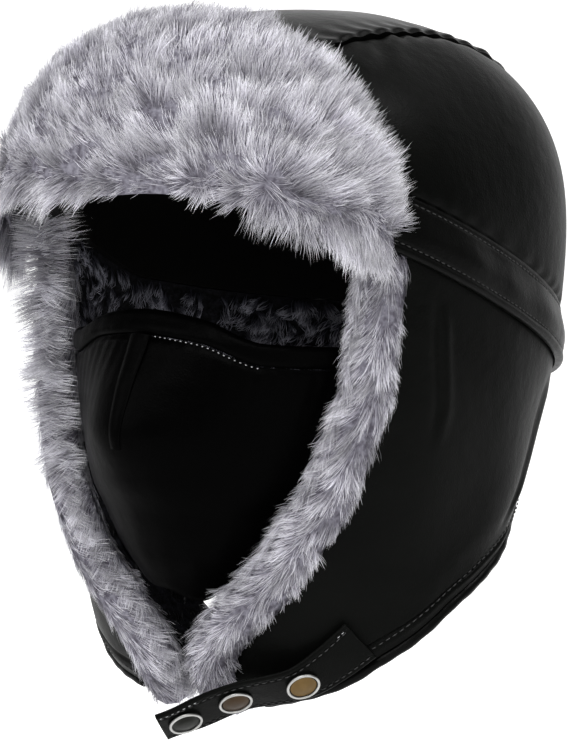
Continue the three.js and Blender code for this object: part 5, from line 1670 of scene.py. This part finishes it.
@dataclass
class Studio:
    """Camera at the photograph's angle, pale paper and soft lights."""

    azimuth: float = 40.0
    elevation: float = 6.0
    distance: float = 1.4
    lens: float = 169.4
    aim: tuple[float, float, float] = (0.0, 0.0, -0.132)
    aim_left: float = -6.2 * MM
    floor_z: float = -0.42

    def camera(self) -> None:
        """Camera looking at the hat."""
        a, e = self.azimuth * RAD, self.elevation * RAD
        back = Vector((math.sin(a) * math.cos(e), -math.cos(a) * math.cos(e), math.sin(e)))
        right = Vector((math.cos(a), math.sin(a), 0))
        data = bpy.data.cameras.new("camera")
        data.lens, data.sensor_width, data.sensor_fit = self.lens, 36, "AUTO"
        data.clip_start, data.clip_end = 0.05, 50
        cam = bpy.data.objects.new("camera", data)
        aim = Vector(self.aim) + right * self.aim_left
        cam.location = aim + back * self.distance
        cam.rotation_mode = "QUATERNION"
        cam.rotation_quaternion = (-back).to_track_quat("-Z", "Y")
        bpy.context.scene.collection.objects.link(cam)
        bpy.context.scene.camera = cam

    def light(self, name: str, azimuth: float, elevation: float, distance: float, size: float, watts: float,
              colour: tuple[float, float, float] = (1, 1, 1)) -> None:
        """Soft square light that faces the hat."""
        a, e = azimuth * RAD, elevation * RAD
        back = Vector((math.sin(a) * math.cos(e), -math.cos(a) * math.cos(e), math.sin(e)))
        data = bpy.data.lights.new(name, "AREA")
        data.energy, data.size, data.color = watts, size, colour
        obj = bpy.data.objects.new(name, data)
        obj.location = Vector((0, 0, -0.12)) + back * distance
        obj.rotation_mode = "QUATERNION"
        obj.rotation_quaternion = (-back).to_track_quat("-Z", "Y")
        bpy.context.scene.collection.objects.link(obj)

    def paper(self) -> None:
        """Floor that curves up into a wall behind the hat, as seen from the camera."""
        turn = np.linspace(0, math.pi / 2, 24)
        out = np.concatenate([[-4.0, 0.0], 2.4 + 1.2 * np.sin(turn), [3.6]])
        up = np.concatenate([[0.0, 0.0], 1.2 - 1.2 * np.cos(turn), [5.0]])
        a = self.azimuth * RAD
        away, across = np.array([-math.sin(a), math.cos(a), 0]), np.array([math.cos(a), math.sin(a), 0])
        wide = np.array([-6.0, 6.0])
        points = (out[:, None, None] * away + wide[None, :, None] * across
                  + (self.floor_z + up)[:, None, None] * np.array([0, 0, 1.0]))
        rows, columns = points.shape[:2]
        faces = quads_of(rows, columns)
        obj = build_mesh("studio_paper", points.reshape(-1, 3), [faces], None, None, closed=False)
        obj.data.materials.append(Backdrop().material())

    def build(self) -> None:
        """Camera, paper, lights and sky."""
        self.camera()
        self.paper()
        world = bpy.data.worlds.new("studio")
        world.use_nodes = True
        world.node_tree.nodes["Background"].inputs["Color"].default_value = (1, 1, 1, 1)
        world.node_tree.nodes["Background"].inputs["Strength"].default_value = 0.32
        bpy.context.scene.world = world
        self.light("key", 20, 48, 1.5, 0.9, 20)
        self.light("front", -25, 22, 1.8, 1.0, 13)
        self.light("fill", 60, 12, 1.9, 1.1, 8)
        self.light("rim", 120, 55, 1.5, 0.6, 12)
        bpy.context.scene.view_settings.view_transform = "Standard"


def main() -> None:
    """Build the hat in order."""
    logging.basicConfig(level=logging.INFO, format="%(message)s")
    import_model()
    Studio().build()
    form, finishes = HatForm(), Finishes()
    Crown(form, finishes).build()
    flaps = EarFlaps(form, finishes)
    flaps.build()
    Lining(form, finishes, flaps).build()
    Visor(form, finishes).build()
    trim = FaceTrim(form, finishes)
    trim.build()
    Mask(form, finishes, trim).build()
    ChinStrap(form, finishes).build()


if __name__ == "__main__":
    main()
